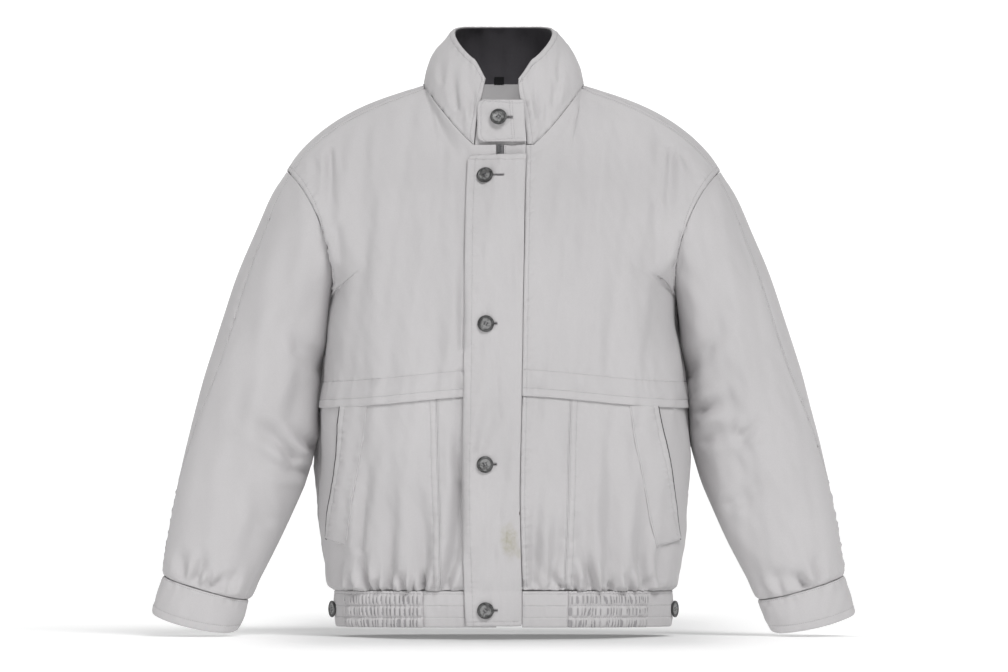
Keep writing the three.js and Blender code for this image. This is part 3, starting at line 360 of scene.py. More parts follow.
# deep end x, z, far end x, z, sideways bow, half width, depth, ridge beside it
FRONT_CREASES = [
    (-223, -48, -226, -142, 2, 6, 3.2, 0.6),
    (-248, -54, -238, -84, 1, 6, 1.8, 0.5),
    (-212, -150, -196, -236, -4, 9, 1.8, 0.8),
    (-230, -190, -205, -262, 5, 10, 2.2, 1.0),
    (216, -46, 216, -188, -3, 7, 3.0, 0.8),
    (229, -54, 246, -90, 2, 6, 1.8, 0.5),
    (228, -188, 204, -256, -5, 10, 2.2, 1.0),
    (196, -120, 190, -220, 3, 9, 1.4, 0.6),
    (-170, -608, -186, -562, 3, 5, 4.2, 1.5),
    (-161, -608, -162, -592, 1, 4, 3.2, 1.2),
    (-128, -608, -134, -580, 1, 5, 4.2, 1.6),
    (-103, -608, -104, -580, -1, 5, 3.6, 1.4),
    (-74, -602, -61, -556, 2, 6, 2.6, 1.0),
    (-189, -606, -198, -590, 1, 4, 3.0, 1.2),
    (-146, -608, -144, -578, 2, 4, 3.0, 1.2),
    (-115, -608, -118, -560, -2, 4, 2.6, 1.1),
    (-90, -606, -86, -576, 1, 4, 2.4, 1.0),
    (-206, -604, -212, -570, 2, 5, 2.6, 1.0),
    (74, -606, 56, -580, 2, 5, 3.2, 1.2),
    (116, -608, 108, -564, 2, 5, 4.0, 1.6),
    (109, -608, 99, -592, 1, 4, 3.0, 1.2),
    (135, -608, 132, -596, 0, 4, 3.2, 1.2),
    (147, -608, 146, -606, 0, 4, 2.4, 1.0),
    (126, -608, 122, -560, -2, 4, 3.0, 1.2),
    (160, -608, 158, -574, 2, 5, 3.4, 1.2),
    (180, -606, 189, -586, 1, 5, 3.0, 1.2),
    (171, -608, 172, -560, -2, 4, 2.6, 1.0),
    (52, -600, 52, -546, 1, 5, 1.8, 0.8),
    (37, -600, 36, -546, -1, 5, 1.8, 0.8),
    (92, -608, 90, -572, 1, 4, 2.6, 1.0),
    (-30, -430, -8, -360, 4, 10, 2.4, 0.8),
    (-53, -300, -50, -110, 1, 5, 2.0, 0.5),
    (-54, -330, -56, -392, 1, 5, 1.8, 0.5),
    (-57, -470, -58, -380, 1, 7, 4.6, 0.6),
    (-57, -478, -63, -596, 2, 8, 5.2, 0.8),
    (-186, -556, -158, -398, 5, 7, 3.0, 1.0),
    (-104, -608, -117, -466, -7, 8, 3.4, 1.2),
    (-143, -606, -138, -500, 3, 7, 3.0, 1.2),
    (-72, -610, -60, -490, -4, 7, 3.2, 1.2),
    (-172, -606, -180, -540, 3, 6, 2.6, 1.0),
    (112, -606, 104, -452, 5, 9, 3.0, 1.2),
    (137, -610, 155, -404, 7, 10, 3.0, 1.2),
    (60, -604, 66, -480, -3, 7, 2.6, 1.0),
    (178, -604, 186, -500, 4, 8, 3.0, 1.2),
    (44, -600, 40, -470, 2, 7, 2.4, 1.0),
    (196, -596, 204, -540, 3, 6, 2.6, 1.0),
]
COLLAR_CREASES = [
    (-60, 8, -63, 74, 3, 5, 2.4, 1.0),
    (-40, -6, -45, 46, -3, 4, 2.2, 0.9),
    (-79, 40, -74, 84, 3, 5, 1.4, 0.6),
    (44, -4, 43, 44, 2, 4, 2.4, 1.0),
    (64, 14, 66, 60, -3, 5, 1.6, 0.8),
    (72, 44, 74, 84, 2, 4, 1.6, 0.7),
]
BACK_CREASES = [
    (-196, -262, -186, -120, 8, 14, 4.0, 1.5),
    (198, -262, 188, -118, -8, 14, 4.0, 1.5),
    (-214, -262, -150, -206, 8, 11, 3.0, 1.2),
    (214, -262, 156, -214, -8, 11, 3.0, 1.2),
    (-188, -606, -182, -560, 2, 6, 3.4, 1.3),
    (-160, -606, -152, -520, -4, 8, 3.2, 1.3),
    (-128, -606, -126, -572, 2, 6, 2.8, 1.1),
    (-100, -606, -92, -500, 5, 9, 3.4, 1.4),
    (-66, -606, -60, -560, -2, 6, 2.8, 1.1),
    (-40, -606, -44, -530, 3, 8, 3.0, 1.2),
    (-8, -606, 2, -560, 2, 6, 2.6, 1.0),
    (24, -606, 30, -490, -6, 9, 3.2, 1.3),
    (56, -606, 52, -566, 2, 6, 2.6, 1.0),
    (84, -606, 90, -520, 4, 8, 3.2, 1.3),
    (116, -606, 112, -568, -2, 6, 2.8, 1.1),
    (142, -606, 150, -510, 4, 9, 3.4, 1.4),
    (176, -606, 172, -562, 2, 6, 3.0, 1.2),
    (196, -604, 198, -540, -3, 8, 2.6, 1.0),
]
# side, face (1 front, -1 back, 0 both), then as above with x away from the middle
SLEEVE_CREASES = [
    (-1, 0, 268, -442, 337, -387, 6, 9, 4.0, 1.6),
    (-1, 0, 246, -428, 264, -396, -2, 8, 3.0, 1.2),
    (-1, 1, 256, -460, 322, -430, -5, 9, 2.2, 0.9),
    (-1, 1, 262, -300, 290, -240, 5, 12, 1.8, 0.8),
    (-1, 1, 238, -330, 262, -284, 4, 10, 2.0, 0.8),
    (-1, 1, 300, -520, 352, -470, 5, 12, 1.8, 0.8),
    (-1, 0, 393, -594, 382, -552, 2, 6, 3.6, 1.4),
    (-1, 0, 378, -598, 378, -577, 1, 5, 2.8, 1.1),
    (-1, 0, 373, -606, 343, -584, 3, 8, 3.6, 1.5),
    (-1, 0, 352, -610, 338, -574, 2, 6, 2.6, 1.1),
    (-1, 0, 410, -590, 412, -548, -2, 6, 2.2, 0.9),
    (1, 0, 254, -380, 302, -368, 3, 9, 3.6, 1.5),
    (1, 0, 306, -412, 330, -386, -3, 8, 3.2, 1.3),
    (1, 0, 258, -420, 300, -404, 4, 9, 2.4, 1.0),
    (1, 1, 264, -300, 292, -236, 5, 12, 1.8, 0.8),
    (1, 1, 240, -336, 262, -290, 4, 10, 2.0, 0.8),
    (1, 1, 292, -500, 340, -456, -5, 12, 2.0, 0.8),
    (1, 0, 385, -602, 373, -575, 2, 6, 3.6, 1.4),
    (1, 0, 383, -606, 338, -587, -3, 8, 3.8, 1.5),
    (1, 0, 404, -594, 402, -560, 2, 6, 2.4, 1.0),
    (1, 0, 356, -612, 344, -580, 2, 6, 2.6, 1.1),
    (-1, -1, 300, -330, 350, -300, 6, 12, 2.4, 1.0),
    (1, -1, 304, -340, 352, -306, -6, 12, 2.4, 1.0),
    (-1, -1, 262, -280, 296, -200, 6, 12, 2.2, 0.9),
    (1, -1, 264, -286, 296, -210, 6, 12, 2.2, 0.9),
]


def crease_depth(creases, x, z):
    """How far the cloth lies in at a point of the front or back view."""
    total = np.zeros(np.broadcast(x, z).shape)
    for x0, z0, x1, z1, bow, width, depth, ridge in creases:
        dx, dz = x1 - x0, z1 - z0
        length = math.hypot(dx, dz)
        along = ((x - x0) * dx + (z - z0) * dz) / length**2
        t = np.clip(along, 0, 1)
        aside = ((x - x0) * -dz + (z - z0) * dx) / length - bow * np.sin(math.pi * t)
        beyond = (along - t) * length
        distance = np.hypot(aside, beyond)
        spread = width * (0.75 + 0.6 * t)
        fade = 1 - smooth(t, 0.15, 1.15)
        trough = np.exp(-((distance / spread) ** 2))
        beside = np.exp(-(((np.abs(aside) - 2.0 * spread) / spread) ** 2 + (beyond / spread) ** 2))
        total += fade * (depth * trough - ridge * beside)
    return CREASE_GAIN * total


def by_place(relief):
    """A panel's relief from a function of x and z in the front view."""
    return lambda base, away, place: relief(base[..., 0], base[..., 2])


def front_relief(x, z):
    drape = 2.4 * waves((x, z), (120, 420), 3) + 1.0 * waves((x, z), (52, 190), 4)
    return drape + 0.3 * waves((x, z), (22, 60), 7) - crease_depth(FRONT_CREASES, x, z)


def back_folds(x, z):
    drape = 2.6 * waves((x, z), (130, 420), 5) + 1.1 * waves((x, z), (55, 180), 6)
    return drape + 0.3 * waves((x, z), (22, 60), 8) - crease_depth(BACK_CREASES, x, z)


# ---- meshes ----
def new_object(name, verts, faces, smooth_shaded=True):
    """An object from points in millimetres and an array of faces, or a list of such arrays."""
    verts = np.asarray(verts, np.float32).reshape(-1, 3) * MM
    faces = faces if isinstance(faces, list) else [faces]
    faces = [np.asarray(f, np.int32) for f in faces]
    sizes = np.concatenate([np.full(len(f), f.shape[1], np.int32) for f in faces])
    corners = np.concatenate([f.ravel() for f in faces])
    mesh = bpy.data.meshes.new(name)
    mesh.vertices.add(len(verts))
    mesh.vertices.foreach_set("co", verts.ravel())
    mesh.loops.add(len(corners))
    mesh.loops.foreach_set("vertex_index", corners)
    mesh.polygons.add(len(sizes))
    mesh.polygons.foreach_set("loop_start", np.concatenate([[0], np.cumsum(sizes)[:-1]]).astype(np.int32))
    mesh.update(calc_edges=True)
    mesh.validate()
    if smooth_shaded:
        mesh.polygons.foreach_set("use_smooth", np.ones(len(mesh.polygons), bool))
    obj = bpy.data.objects.new(name, mesh)
    bpy.context.collection.objects.link(obj)
    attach(obj, "root")
    return obj


def grid_normals(points):
    return unit(np.cross(np.gradient(points, axis=1), np.gradient(points, axis=0)))


def grid_index(rows, cols, loop=False):
    index = np.arange(rows * cols).reshape(rows, cols)
    return np.concatenate([index, index[:, :1]], 1) if loop else index


def grid_faces(index):
    return np.stack([index[:-1, :-1], index[:-1, 1:], index[1:, 1:], index[1:, :-1]], -1).reshape(-1, 4)


def shell(name, outer, normals, thickness):
    """A closed thin wall behind a grid of outer points."""
    rows, cols = outer.shape[:2]
    inner = outer - normals * thickness
    index = grid_index(rows, cols)
    face = grid_faces(index)
    n = rows * cols
    back_face = face[:, ::-1] + n

    def rim(line):
        return np.stack([line[1:], line[:-1], line[:-1] + n, line[1:] + n], -1)

    rims = [rim(index[0]), rim(index[-1][::-1]), rim(index[::-1, 0]), rim(index[:, -1])]
    quads = np.concatenate([face, back_face, *rims])
    p = np.concatenate([outer.reshape(-1, 3), inner.reshape(-1, 3)])
    # turn the faces outwards
    u, v, w = p[face[:, 0]], p[face[:, 1]], p[face[:, 2]]
    if (np.cross(v - u, w - u) * normals.reshape(-1, 3)[face[:, 0]]).sum() < 0:
        quads = quads[:, ::-1]
    return new_object(name, p, quads)


EDGE_STEPS = {"seam": (0.15, 0.6, 1.2, 2.2), "hem": (0.05, 0.3, 0.7, 1.3, 2.4)}
LINE_STEPS = (-1.1, -0.5, 0.0, 0.5, 1.1)
GROOVE, GROOVE_WIDTH = 0.6, 0.75


def edge_places(spec):
    places = set(EDGE_STEPS[spec["kind"]])
    for line in spec["lines"]:
        places.update(line + step for step in LINE_STEPS)
    places.update(spec.get("rows", ()))
    kept = []
    for place in sorted(places):
        if kept and place - kept[-1] < 0.2:
            if any(abs(place - line) < 1e-6 for line in spec["lines"]):
                kept[-1] = place
            continue
        kept.append(place)
    return kept


def arc(points, axis):
    steps = np.linalg.norm(np.diff(points, axis=axis), axis=-1)
    start = np.zeros_like(np.take(steps, [0], axis))
    return np.concatenate([start, np.cumsum(steps, axis)], axis)


def places_along(length, first, last, step, typical):
    """Places on each of many lines: fixed distances from both ends, and even steps between."""
    count = max(2, round((typical - first[-1] - last[-1]) / step))
    shares = np.linspace(0, 1, count + 1)[1:-1]
    middle = first[-1] + shares * (length[..., None] - first[-1] - last[-1])
    start = np.broadcast_to(first, length.shape + (len(first),))
    end = length[..., None] - np.array(last[::-1])
    return np.concatenate([start, middle, end], -1)


def ledge_rows(down, b, share, first, last, step):
    """Row places for a piece whose columns before the ledge have no length above share."""
    drop = np.array([np.interp(share, b, column) for column in down.T])[:, None]
    start = np.concatenate([np.tile(first, (len(drop), 1)),
                            first[-1] + np.linspace(0.25, 1, 4) * (drop - first[-1])], 1)
    start = np.where(drop > 1, start, 0.01 * np.arange(1, start.shape[1] + 1))
    end = down[-1][:, None] - np.array(last[::-1])
    length = end[:, :1] - start[:, -1:]
    shares = np.linspace(0, 1, round(float(np.median(length)) / step) + 1)[1:-1]
    return np.concatenate([start, start[:, -1:] + shares * length, end], 1)


def fitted(surface, edges, step, ledge=None):
    """Points of surface(a, b), with rows and columns at stated distances from the four edges."""
    a, b = np.linspace(0, 1, 49), np.linspace(0, 1, 81)
    if ledge:
        a = np.sort(np.concatenate([a, *[(place - 1e-4, place + 1e-4) for place in ledge["at"]]]))
        b = np.sort(np.concatenate([b, np.linspace(0, ledge["share"], 17)[1:]]))
    down = arc(surface(*np.broadcast_arrays(a[None, :], b[:, None])), 0)
    first, last = edge_places(edges["top"]), edge_places(edges["bottom"])
    if ledge:
        row_places = ledge_rows(down, b, ledge["share"], first, last, step)
    else:
        row_places = places_along(down[-1], first, last, step, float(np.median(down[-1])))
    row_b = np.stack([np.interp(row_places[i], down[:, i], b) for i in range(len(a))], 1)
    lengths = down[-1]
    along = arc(surface(np.broadcast_to(a, row_b.shape), row_b), 1)
    first, last = edge_places(edges["left"]), edge_places(edges["right"])
    col_places = places_along(along[:, -1], first, last, step, float(np.median(along[:, -1])))
    rows = range(len(row_b))
    at = np.stack([np.interp(col_places[r], along[r], a) for r in rows])
    bt = np.stack([np.interp(at[r], a, row_b[r]) for r in rows])
    top = np.stack([np.interp(at[r], a, row_places[:, r]) for r in rows])
    total = np.stack([np.interp(at[r], a, lengths) for r in rows])
    away = {
        "top": top, "bottom": total - top,
        "left": col_places, "right": along[:, -1:] - col_places,
    }
    return surface(at, bt), away, (at, bt)


# the edge that a place along each edge is measured from
OPPOSITE_AXIS = {"left": "top", "right": "top", "top": "left", "bottom": "left"}
PIECES, STITCHES = {}, {}


def edge_relief(edges, away):
    """Seam valleys, rolled hems, stitched grooves and the puckers along them."""
    total = 0.0
    for number, (edge, spec) in enumerate(edges.items()):
        d = away[edge]
        s = away[OPPOSITE_AXIS[edge]]
        if spec["kind"] == "seam":
            total = total - spec.get("valley", 1.0) * np.exp(-((d / 1.3) ** 2))
        else:
            r = spec.get("roll", 1.1)
            total = total - r * (1 - np.sqrt(1 - (1 - np.clip(d / r, 0, 1)) ** 2))
        for line in spec["lines"]:
            total = total - spec.get("groove", GROOVE) * np.exp(-(((d - line) / GROOVE_WIDTH) ** 2))
        if spec["lines"]:
            reach = max(spec["lines"])
            total = total + 0.45 * (1 - smooth(d, reach - 0.5, reach + 2.5)) * smooth(d, 0.5, 2)
            seed = spec.get("seed", 31) + number
            ripple = waves((s, d), (13, 60), seed) + 0.6 * waves((s, d), (6.5, 40), seed + 7)
            total = total + 1.7 * spec.get("pucker", 0.28) * ripple * np.exp(-(((d - reach) / 7) ** 2))
    return total


def line_index(edges, edge, line, count):
    places = edge_places(edges[edge])
    index = int(np.argmin([abs(place - line) for place in places]))
    return index if edge in ("top", "left") else count - 1 - index


def sewn(lines=(), **more):
    """An edge in a seam; lines are its topstitching's distances from it."""
    return dict(kind="seam", lines=lines, **more)


def hemmed(lines=(), **more):
    """A turned edge."""
    return dict(kind="hem", lines=lines, **more)


def all_round(spec):
    return dict.fromkeys(OPPOSITE_AXIS, spec)


def panel(node, surface, outward, edges, relief=None, step=3.0, thickness=1.0, material=None,
          stitches="body", ledge=None):
    """One piece of cloth that stands for a node: its form, relief, shell and stitching."""
    full = {**all_round(sewn()), **edges}
    base, away, place = fitted(surface, full, step, ledge)
    normals = grid_normals(base)
    facing = np.sign((normals * outward(base)).sum())
    normals = normals * facing
    height = edge_relief(full, away)
    if relief is not None:
        height = height + relief(base, away, place)
    outer = base + normals * height[..., None]
    fine = grid_normals(outer) * facing
    obj = shell(f"cloth_{node}", outer, normals, thickness)
    obj.data.materials.append(material or SHELL)
    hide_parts(node)
    for edge, spec in full.items():
        for line in spec["lines"]:
            if edge in ("top", "bottom"):
                row = line_index(full, edge, line, outer.shape[0])
                points, ups = outer[row, 2:-2], fine[row, 2:-2]
            else:
                column = line_index(full, edge, line, outer.shape[1])
                points, ups = outer[2:-2, column], fine[2:-2, column]
            STITCHES.setdefault(stitches, []).append((points, ups))
    PIECES[node] = (obj, outer, fine, away)
    return PIECES[node]


def stitch_mesh(name, lines, seed, pitch=2.9, length=2.1, width=0.26):
    """Dashes of thread along lines, as one mesh."""
    rng = np.random.default_rng(seed)
    verts, quads, tris = [], [], []
    total = 0
    for points, ups in lines:
        run = arc(points[:, None], 0)[:, 0]
        count = int((run[-1] - 2) / pitch)
        if count < 1:
            continue
        start = 1 + np.arange(count) * pitch + rng.uniform(-0.15, 0.15, count)
        stations = [start, start + 0.25 * length, start + 0.75 * length, start + length]
        centre = [np.stack([np.interp(s, run, points[:, i]) for i in range(3)], -1) for s in stations]
        up = unit(np.stack([np.interp(start, run, ups[:, i]) for i in range(3)], -1))
        aside = unit(np.cross(unit(centre[3] - centre[0]), up))
        ring = []
        for station in (1, 2):
            for da, du in ((1, 0.05), (0, 0.32), (-1, 0.05), (0, -0.2)):
                ring.append(centre[station] + aside * width * da + up * du)
        block = np.stack([centre[0] - up * 0.1, *ring, centre[3] - up * 0.1], 1)
        base = total + np.arange(count)[:, None] * 10
        for k in range(4):
            n = (k + 1) % 4
            tris.append(np.stack([base[:, 0], base[:, 0] + 1 + n, base[:, 0] + 1 + k], -1))
            tris.append(np.stack([base[:, 0] + 9, base[:, 0] + 5 + k, base[:, 0] + 5 + n], -1))
            quads.append(np.stack([base[:, 0] + 1 + k, base[:, 0] + 1 + n,
                                   base[:, 0] + 5 + n, base[:, 0] + 5 + k], -1))
        verts.append(block.reshape(-1, 3))
        total += count * 10
    return new_object(name, np.concatenate(verts), [np.concatenate(quads), np.concatenate(tris)])


# ---- materials ----
def srgb(*values):
    out = []
    for value in values:
        c = value / 255
        out.append(c / 12.92 if c <= 0.04045 else ((c + 0.055) / 1.055) ** 2.4)
    return (*out, 1.0)


class Tree:
    """A material's nodes, made and linked by name."""

    def __init__(self, name):
        self.material = bpy.data.materials.new(name)
        self.material.use_nodes = True
        self.tree = self.material.node_tree
        self.tree.nodes.clear()
        self.shader = self.node("ShaderNodeBsdfPrincipled")
        output = self.node("ShaderNodeOutputMaterial")
        self.link(self.shader.outputs[0], output.inputs[0])
        self.coords = self.node("ShaderNodeTexCoord").outputs["Object"]

    def node(self, kind, **settings):
        made = self.tree.nodes.new(kind)
        for key, value in settings.items():
            setattr(made, key, value)
        return made

    def link(self, source, target):
        self.tree.links.new(source, target)

    def noise(self, scale, detail=2.0, rough=0.5, stretch=(1, 1, 1), distort=0.0):
        mapping = self.node("ShaderNodeMapping")
        mapping.inputs["Scale"].default_value = stretch
        self.link(self.coords, mapping.inputs["Vector"])
        noise = self.node("ShaderNodeTexNoise")
        noise.inputs["Scale"].default_value = scale
        noise.inputs["Detail"].default_value = detail
        noise.inputs["Roughness"].default_value = rough
        noise.inputs["Distortion"].default_value = distort
        self.link(mapping.outputs[0], noise.inputs["Vector"])
        return noise.outputs[0]

    def math(self, operation, a, b=0.5, c=0.5):
        made = self.node("ShaderNodeMath", operation=operation)
        for socket, value in zip(made.inputs, (a, b, c)):
            if isinstance(value, (int, float)):
                socket.default_value = value
            else:
                self.link(value, socket)
        return made.outputs[0]

    def ramp(self, value, stops):
        made = self.node("ShaderNodeValToRGB")
        elements = made.color_ramp.elements
        elements[0].position, elements[0].color = stops[0]
        elements[1].position, elements[1].color = stops[-1]
        for position, color in stops[1:-1]:
            elements.new(position).color = color
        self.link(value, made.inputs[0])
        return made.outputs[0]

    def mix(self, factor, a, b, blend="MIX"):
        made = self.node("ShaderNodeMix", data_type="RGBA", blend_type=blend)
        for socket, value in ((made.inputs[0], factor), (made.inputs[6], a), (made.inputs[7], b)):
            if isinstance(value, (tuple, float)):
                socket.default_value = value
            else:
                self.link(value, socket)
        return made.outputs[2]

    def bump(self, height, strength, distance, after=None):
        made = self.node("ShaderNodeBump")
        made.inputs["Strength"].default_value = strength
        made.inputs["Distance"].default_value = distance
        self.link(height, made.inputs["Height"])
        if after is not None:
            self.link(after, made.inputs["Normal"])
        return made.outputs[0]

    def near(self, centre, size, wobble, edge=(0.75, 1.1)):
        """1 within an uneven ellipse round a place, 0 outside."""
        mapping = self.node("ShaderNodeMapping")
        mapping.inputs["Location"].default_value = [-c / s for c, s in zip(centre, size)]
        mapping.inputs["Scale"].default_value = [1 / s for s in size]
        self.link(self.coords, mapping.inputs["Vector"])
        length = self.node("ShaderNodeVectorMath", operation="LENGTH")
        self.link(mapping.outputs[0], length.inputs[0])
        moved = self.math("MULTIPLY_ADD", self.noise(90, 3.0), wobble, length.outputs["Value"])
        moved = self.math("SUBTRACT", moved, wobble / 2)
        return self.fade(moved, *edge, 1.0, 0.0)

    def fade(self, value, low, high, start=0.0, end=1.0):
        made = self.node("ShaderNodeMapRange", interpolation_type="SMOOTHSTEP")
        self.link(value, made.inputs[0])
        made.inputs[1].default_value, made.inputs[2].default_value = low, high
        made.inputs[3].default_value, made.inputs[4].default_value = start, end
        return made.outputs[0]

    def set(self, **values):
        for key, value in values.items():
            self.shader.inputs[key.replace("_", " ")].default_value = value


def grey(value):
    return (value, value, value, 1.0)


def stained(t, cloth):
    """The cloth's colour with a pale brown patch, a line, a blot and one dark speck, low on the flap."""
    patch = t.near((0.007, -0.15, -0.546), (0.014, 0.08, 0.024), 0.9, (0.35, 1.15))
    uneven = t.ramp(t.noise(260, 3.0), [(0.3, grey(0.25)), (0.7, grey(0.8))])
    result = t.mix(t.math("MULTIPLY", patch, uneven), cloth, srgb(166, 162, 146))
    line = t.near((0.004, -0.15, -0.541), (0.0016, 0.08, 0.011), 0.9, (0.3, 1.2))
    result = t.mix(t.math("MULTIPLY", line, 0.35), result, srgb(150, 146, 130))
    speck = t.near((0.0215, -0.15, -0.511), (0.0016, 0.08, 0.003), 0.7)
    result = t.mix(speck, result, srgb(70, 62, 56))
    blot = t.near((0.02, -0.15, -0.562), (0.006, 0.08, 0.009), 0.9, (0.3, 1.1))
    return t.mix(t.math("MULTIPLY", blot, 0.4), result, srgb(170, 166, 152))


def cloth_material(name, color, stain=False, contrast=1.0, sheen=0.22):
    t = Tree(name)
    dark = tuple(c * (1 - 0.035 * contrast) for c in color[:3]) + (1,)
    light = tuple(min(1, c * (1 + 0.03 * contrast)) for c in color[:3]) + (1,)
    broad = t.ramp(t.noise(9, 3.0, 0.55, (1, 1, 0.6)), [(0.3, dark), (0.7, light)])
    fleck = t.ramp(t.noise(700, 2.0, 0.6), [(0.35, grey(0.965)), (0.65, grey(1.0))])
    result = t.mix(1.0, broad, fleck, "MULTIPLY")
    if stain:
        result = stained(t, result)
    t.link(result, t.shader.inputs["Base Color"])
    fibre = t.noise(1400, 2.0, 0.7)
    slub = t.noise(260, 3.0, 0.6, (1, 1, 2.5))
    crinkle = t.noise(48, 4.0, 0.55, (1.0, 1.0, 0.6), 0.4)
    normal = t.bump(crinkle, 0.35, 0.0016)
    normal = t.bump(slub, 0.06, 0.0006, normal)
    normal = t.bump(fibre, 0.10, 0.0002, normal)
    t.link(normal, t.shader.inputs["Normal"])
    t.set(Roughness=0.86, Sheen_Weight=sheen, Sheen_Roughness=0.45, Specular_IOR_Level=0.25)
    return t.material


SHELL_COLOR = srgb(191, 189, 190)
SHELL = cloth_material("shell_cloth", SHELL_COLOR)
FLAP_CLOTH = cloth_material("flap_cloth", SHELL_COLOR, stain=True)
# a darker copy of the shell cloth: painted shade for the grooves between the elastic's ribs
GROOVE_PAINTED_SHADE = cloth_material("rib_groove_painted_shade", srgb(160, 158, 160))
LINING = cloth_material("charcoal_lining", srgb(72, 70, 74), contrast=2.0, sheen=0.1)
LABEL = cloth_material("label_cloth", srgb(26, 26, 28), sheen=0.05)
TAPE = cloth_material("zip_tape", srgb(120, 120, 122), sheen=0.05)
THREAD = cloth_material("thread", srgb(158, 156, 158), contrast=0.5, sheen=0.1)
THREAD_DARK = cloth_material("thread_dark", srgb(92, 92, 96), contrast=0.5, sheen=0.1)
# near-black sheets of painted shadow, laid where the buttonholes and pocket openings show shade
PAINTED_SLIT_SHADOW = cloth_material("slit_shadow", srgb(58, 57, 58), sheen=0.0)


def button_material(name, shade):
    t = Tree(name)
    swirl = t.noise(95, 3.0, 0.55, (1, 1, 1), 1.2)
    tones = [(0.30, 56), (0.46, 92), (0.56, 138), (0.72, 80)]
    color = t.ramp(swirl, [(place, srgb(*[tone * shade] * 3)) for place, tone in tones])
    t.link(color, t.shader.inputs["Base Color"])
    t.link(t.bump(t.noise(900, 2.0), 0.06, 0.0002), t.shader.inputs["Normal"])
    t.set(Roughness=0.38, Specular_IOR_Level=0.45, Coat_Weight=0.1)
    return t.material


def teeth_material():
    t = Tree("zip_teeth")
    color = t.ramp(t.noise(500, 2.0), [(0.3, srgb(74, 74, 76)), (0.7, srgb(98, 98, 100))])
    t.link(color, t.shader.inputs["Base Color"])
    t.link(t.bump(t.noise(1500, 2.0), 0.08, 0.0001), t.shader.inputs["Normal"])
    t.set(Roughness=0.4)
    return t.material


BUTTON = button_material("button_marble", 1.0)
# a darker copy of the button's material for its rim and sides: painted shade
BUTTON_RIM_PAINTED_SHADE = button_material("button_rim_painted_shade", 0.62)
TEETH = teeth_material()


# ---- fronts ----
def hem_z(x):
    return HEM["centre"] - HEM["fall"] * smooth(np.abs(x), 0, HEM["half"])


def lap_rise(x, z):
    """How far the chest's hem stands off the lower front."""
    return LAP["rise"] * (1 - smooth(z - hem_z(x), LAP["flat"], LAP["length"]))


def flap_seam(z):
    return curve(SEAM_ROWS[:, 0], SEAM_ROWS[:, 1], z) - SEAM_GAP / 2


def centre_edge(side):
    if side < 0:
        return lambda z: np.full(np.shape(z), -CENTRE_LEFT)
    return lambda z: flap_seam(z) + SEAM_GAP


def make_hem_table():
    u = np.linspace(0, 1, 401)
    f = np.full(401, 0.5)
    for _ in range(8):
        edge = body_edge(lerp(SEAM_ARM[2], WAIST["top"], f), 1)[0]
        top = front_top(u)[..., 2]
        f = (top - hem_z(column_share(u) * edge)) / (top - WAIST["top"])
    return u, f, f - LAP["tuck"] / (top - WAIST["top"])


HEM_U, HEM_F, TUCK_F = make_hem_table()


def front_panel(side, from_x, to_x, lower=False):
    def surface(a, b):
        u, f = np.full(a.shape, 0.5), np.full(a.shape, 0.5)
        # the edges' x depends on z and z on the column, so both are found by repetition
        for _ in range(8):
            z = lerp(front_top(u)[..., 2], WAIST["top"], f)
            edge = body_edge(lerp(SEAM_ARM[2], WAIST["top"], f), 1)[0]
            right = column_at(to_x(z) / edge) if to_x else 1.0
            u = lerp(column_at(from_x(z) / edge), right, a)
            if lower:
                f = lerp(np.interp(u, HEM_U, TUCK_F), 1.0, b)
            else:
                f = np.interp(u, HEM_U, HEM_F) * b
        point = front(side, u, f)
        if not lower:
            angle = column_angle(u)
            out = unit(vec(side * np.sin(angle) ** 1.2, -np.abs(np.cos(angle)) ** 1.2, 0))
            point = point + out * lap_rise(point[..., 0], point[..., 2])[..., None]
        return point

    return surface


def seam_x(z):
    """The upright seam between the lower front's centre and side parts."""
    return lerp(*FRONT_SEAM, (z - HEM["centre"]) / (WAIST["top"] - HEM["centre"]))


def toward_front(points):
    return vec(0, -1, 0 * points[..., 0])


def from_axis(points):
    return unit(points * np.array([1, 1, 0]))


def chest_relief(base, away, place):
    fade = smooth(away["top"], 0, 40) * smooth(away["right"], 1, 12)
    return front_relief(base[..., 0], base[..., 2]) * fade


def gathers(x, z, seed):
    """Small upright folds that die out above the gathered seam."""
    above = z - WAIST["top"]
    long = 1.9 * waves((x, z), (13, 190), seed) * np.exp(-np.clip(above, 0, None) / 17)
    return long + 1.1 * waves((x, z), (7.5, 90), seed + 1) * np.exp(-np.clip(above, 0, None) / 7)


# x where each gathered stretch starts, is full, begins to end and ends
GATHERED = ((-212, -200, -104, -92), (72, 84, 183, 195))


def over_elastic(x):
    return sum(smooth(x, start, full) * (1 - smooth(x, last, end)) for start, full, last, end in GATHERED)


def puff(away):
    """The cloth's swelling just above the waistband."""
    d = away["bottom"]
    return 2.6 * smooth(d, 0, 7) * (1 - smooth(d, 10, 44))


def lower_relief(base, away, place, fade=1.0):
    x, z = base[..., 0], base[..., 2]
    pinch = lerp(0.5, 1.0, smooth(away["bottom"], 0, 6))
    gathered = gathers(x, z, 241) * lerp(0.25, 1.0, over_elastic(x))
    return (front_relief(x, z) * pinch + gathered) * fade + puff(away)


def side_relief(base, away, place):
    return lower_relief(base, away, place, smooth(away["right"], 0, 12))


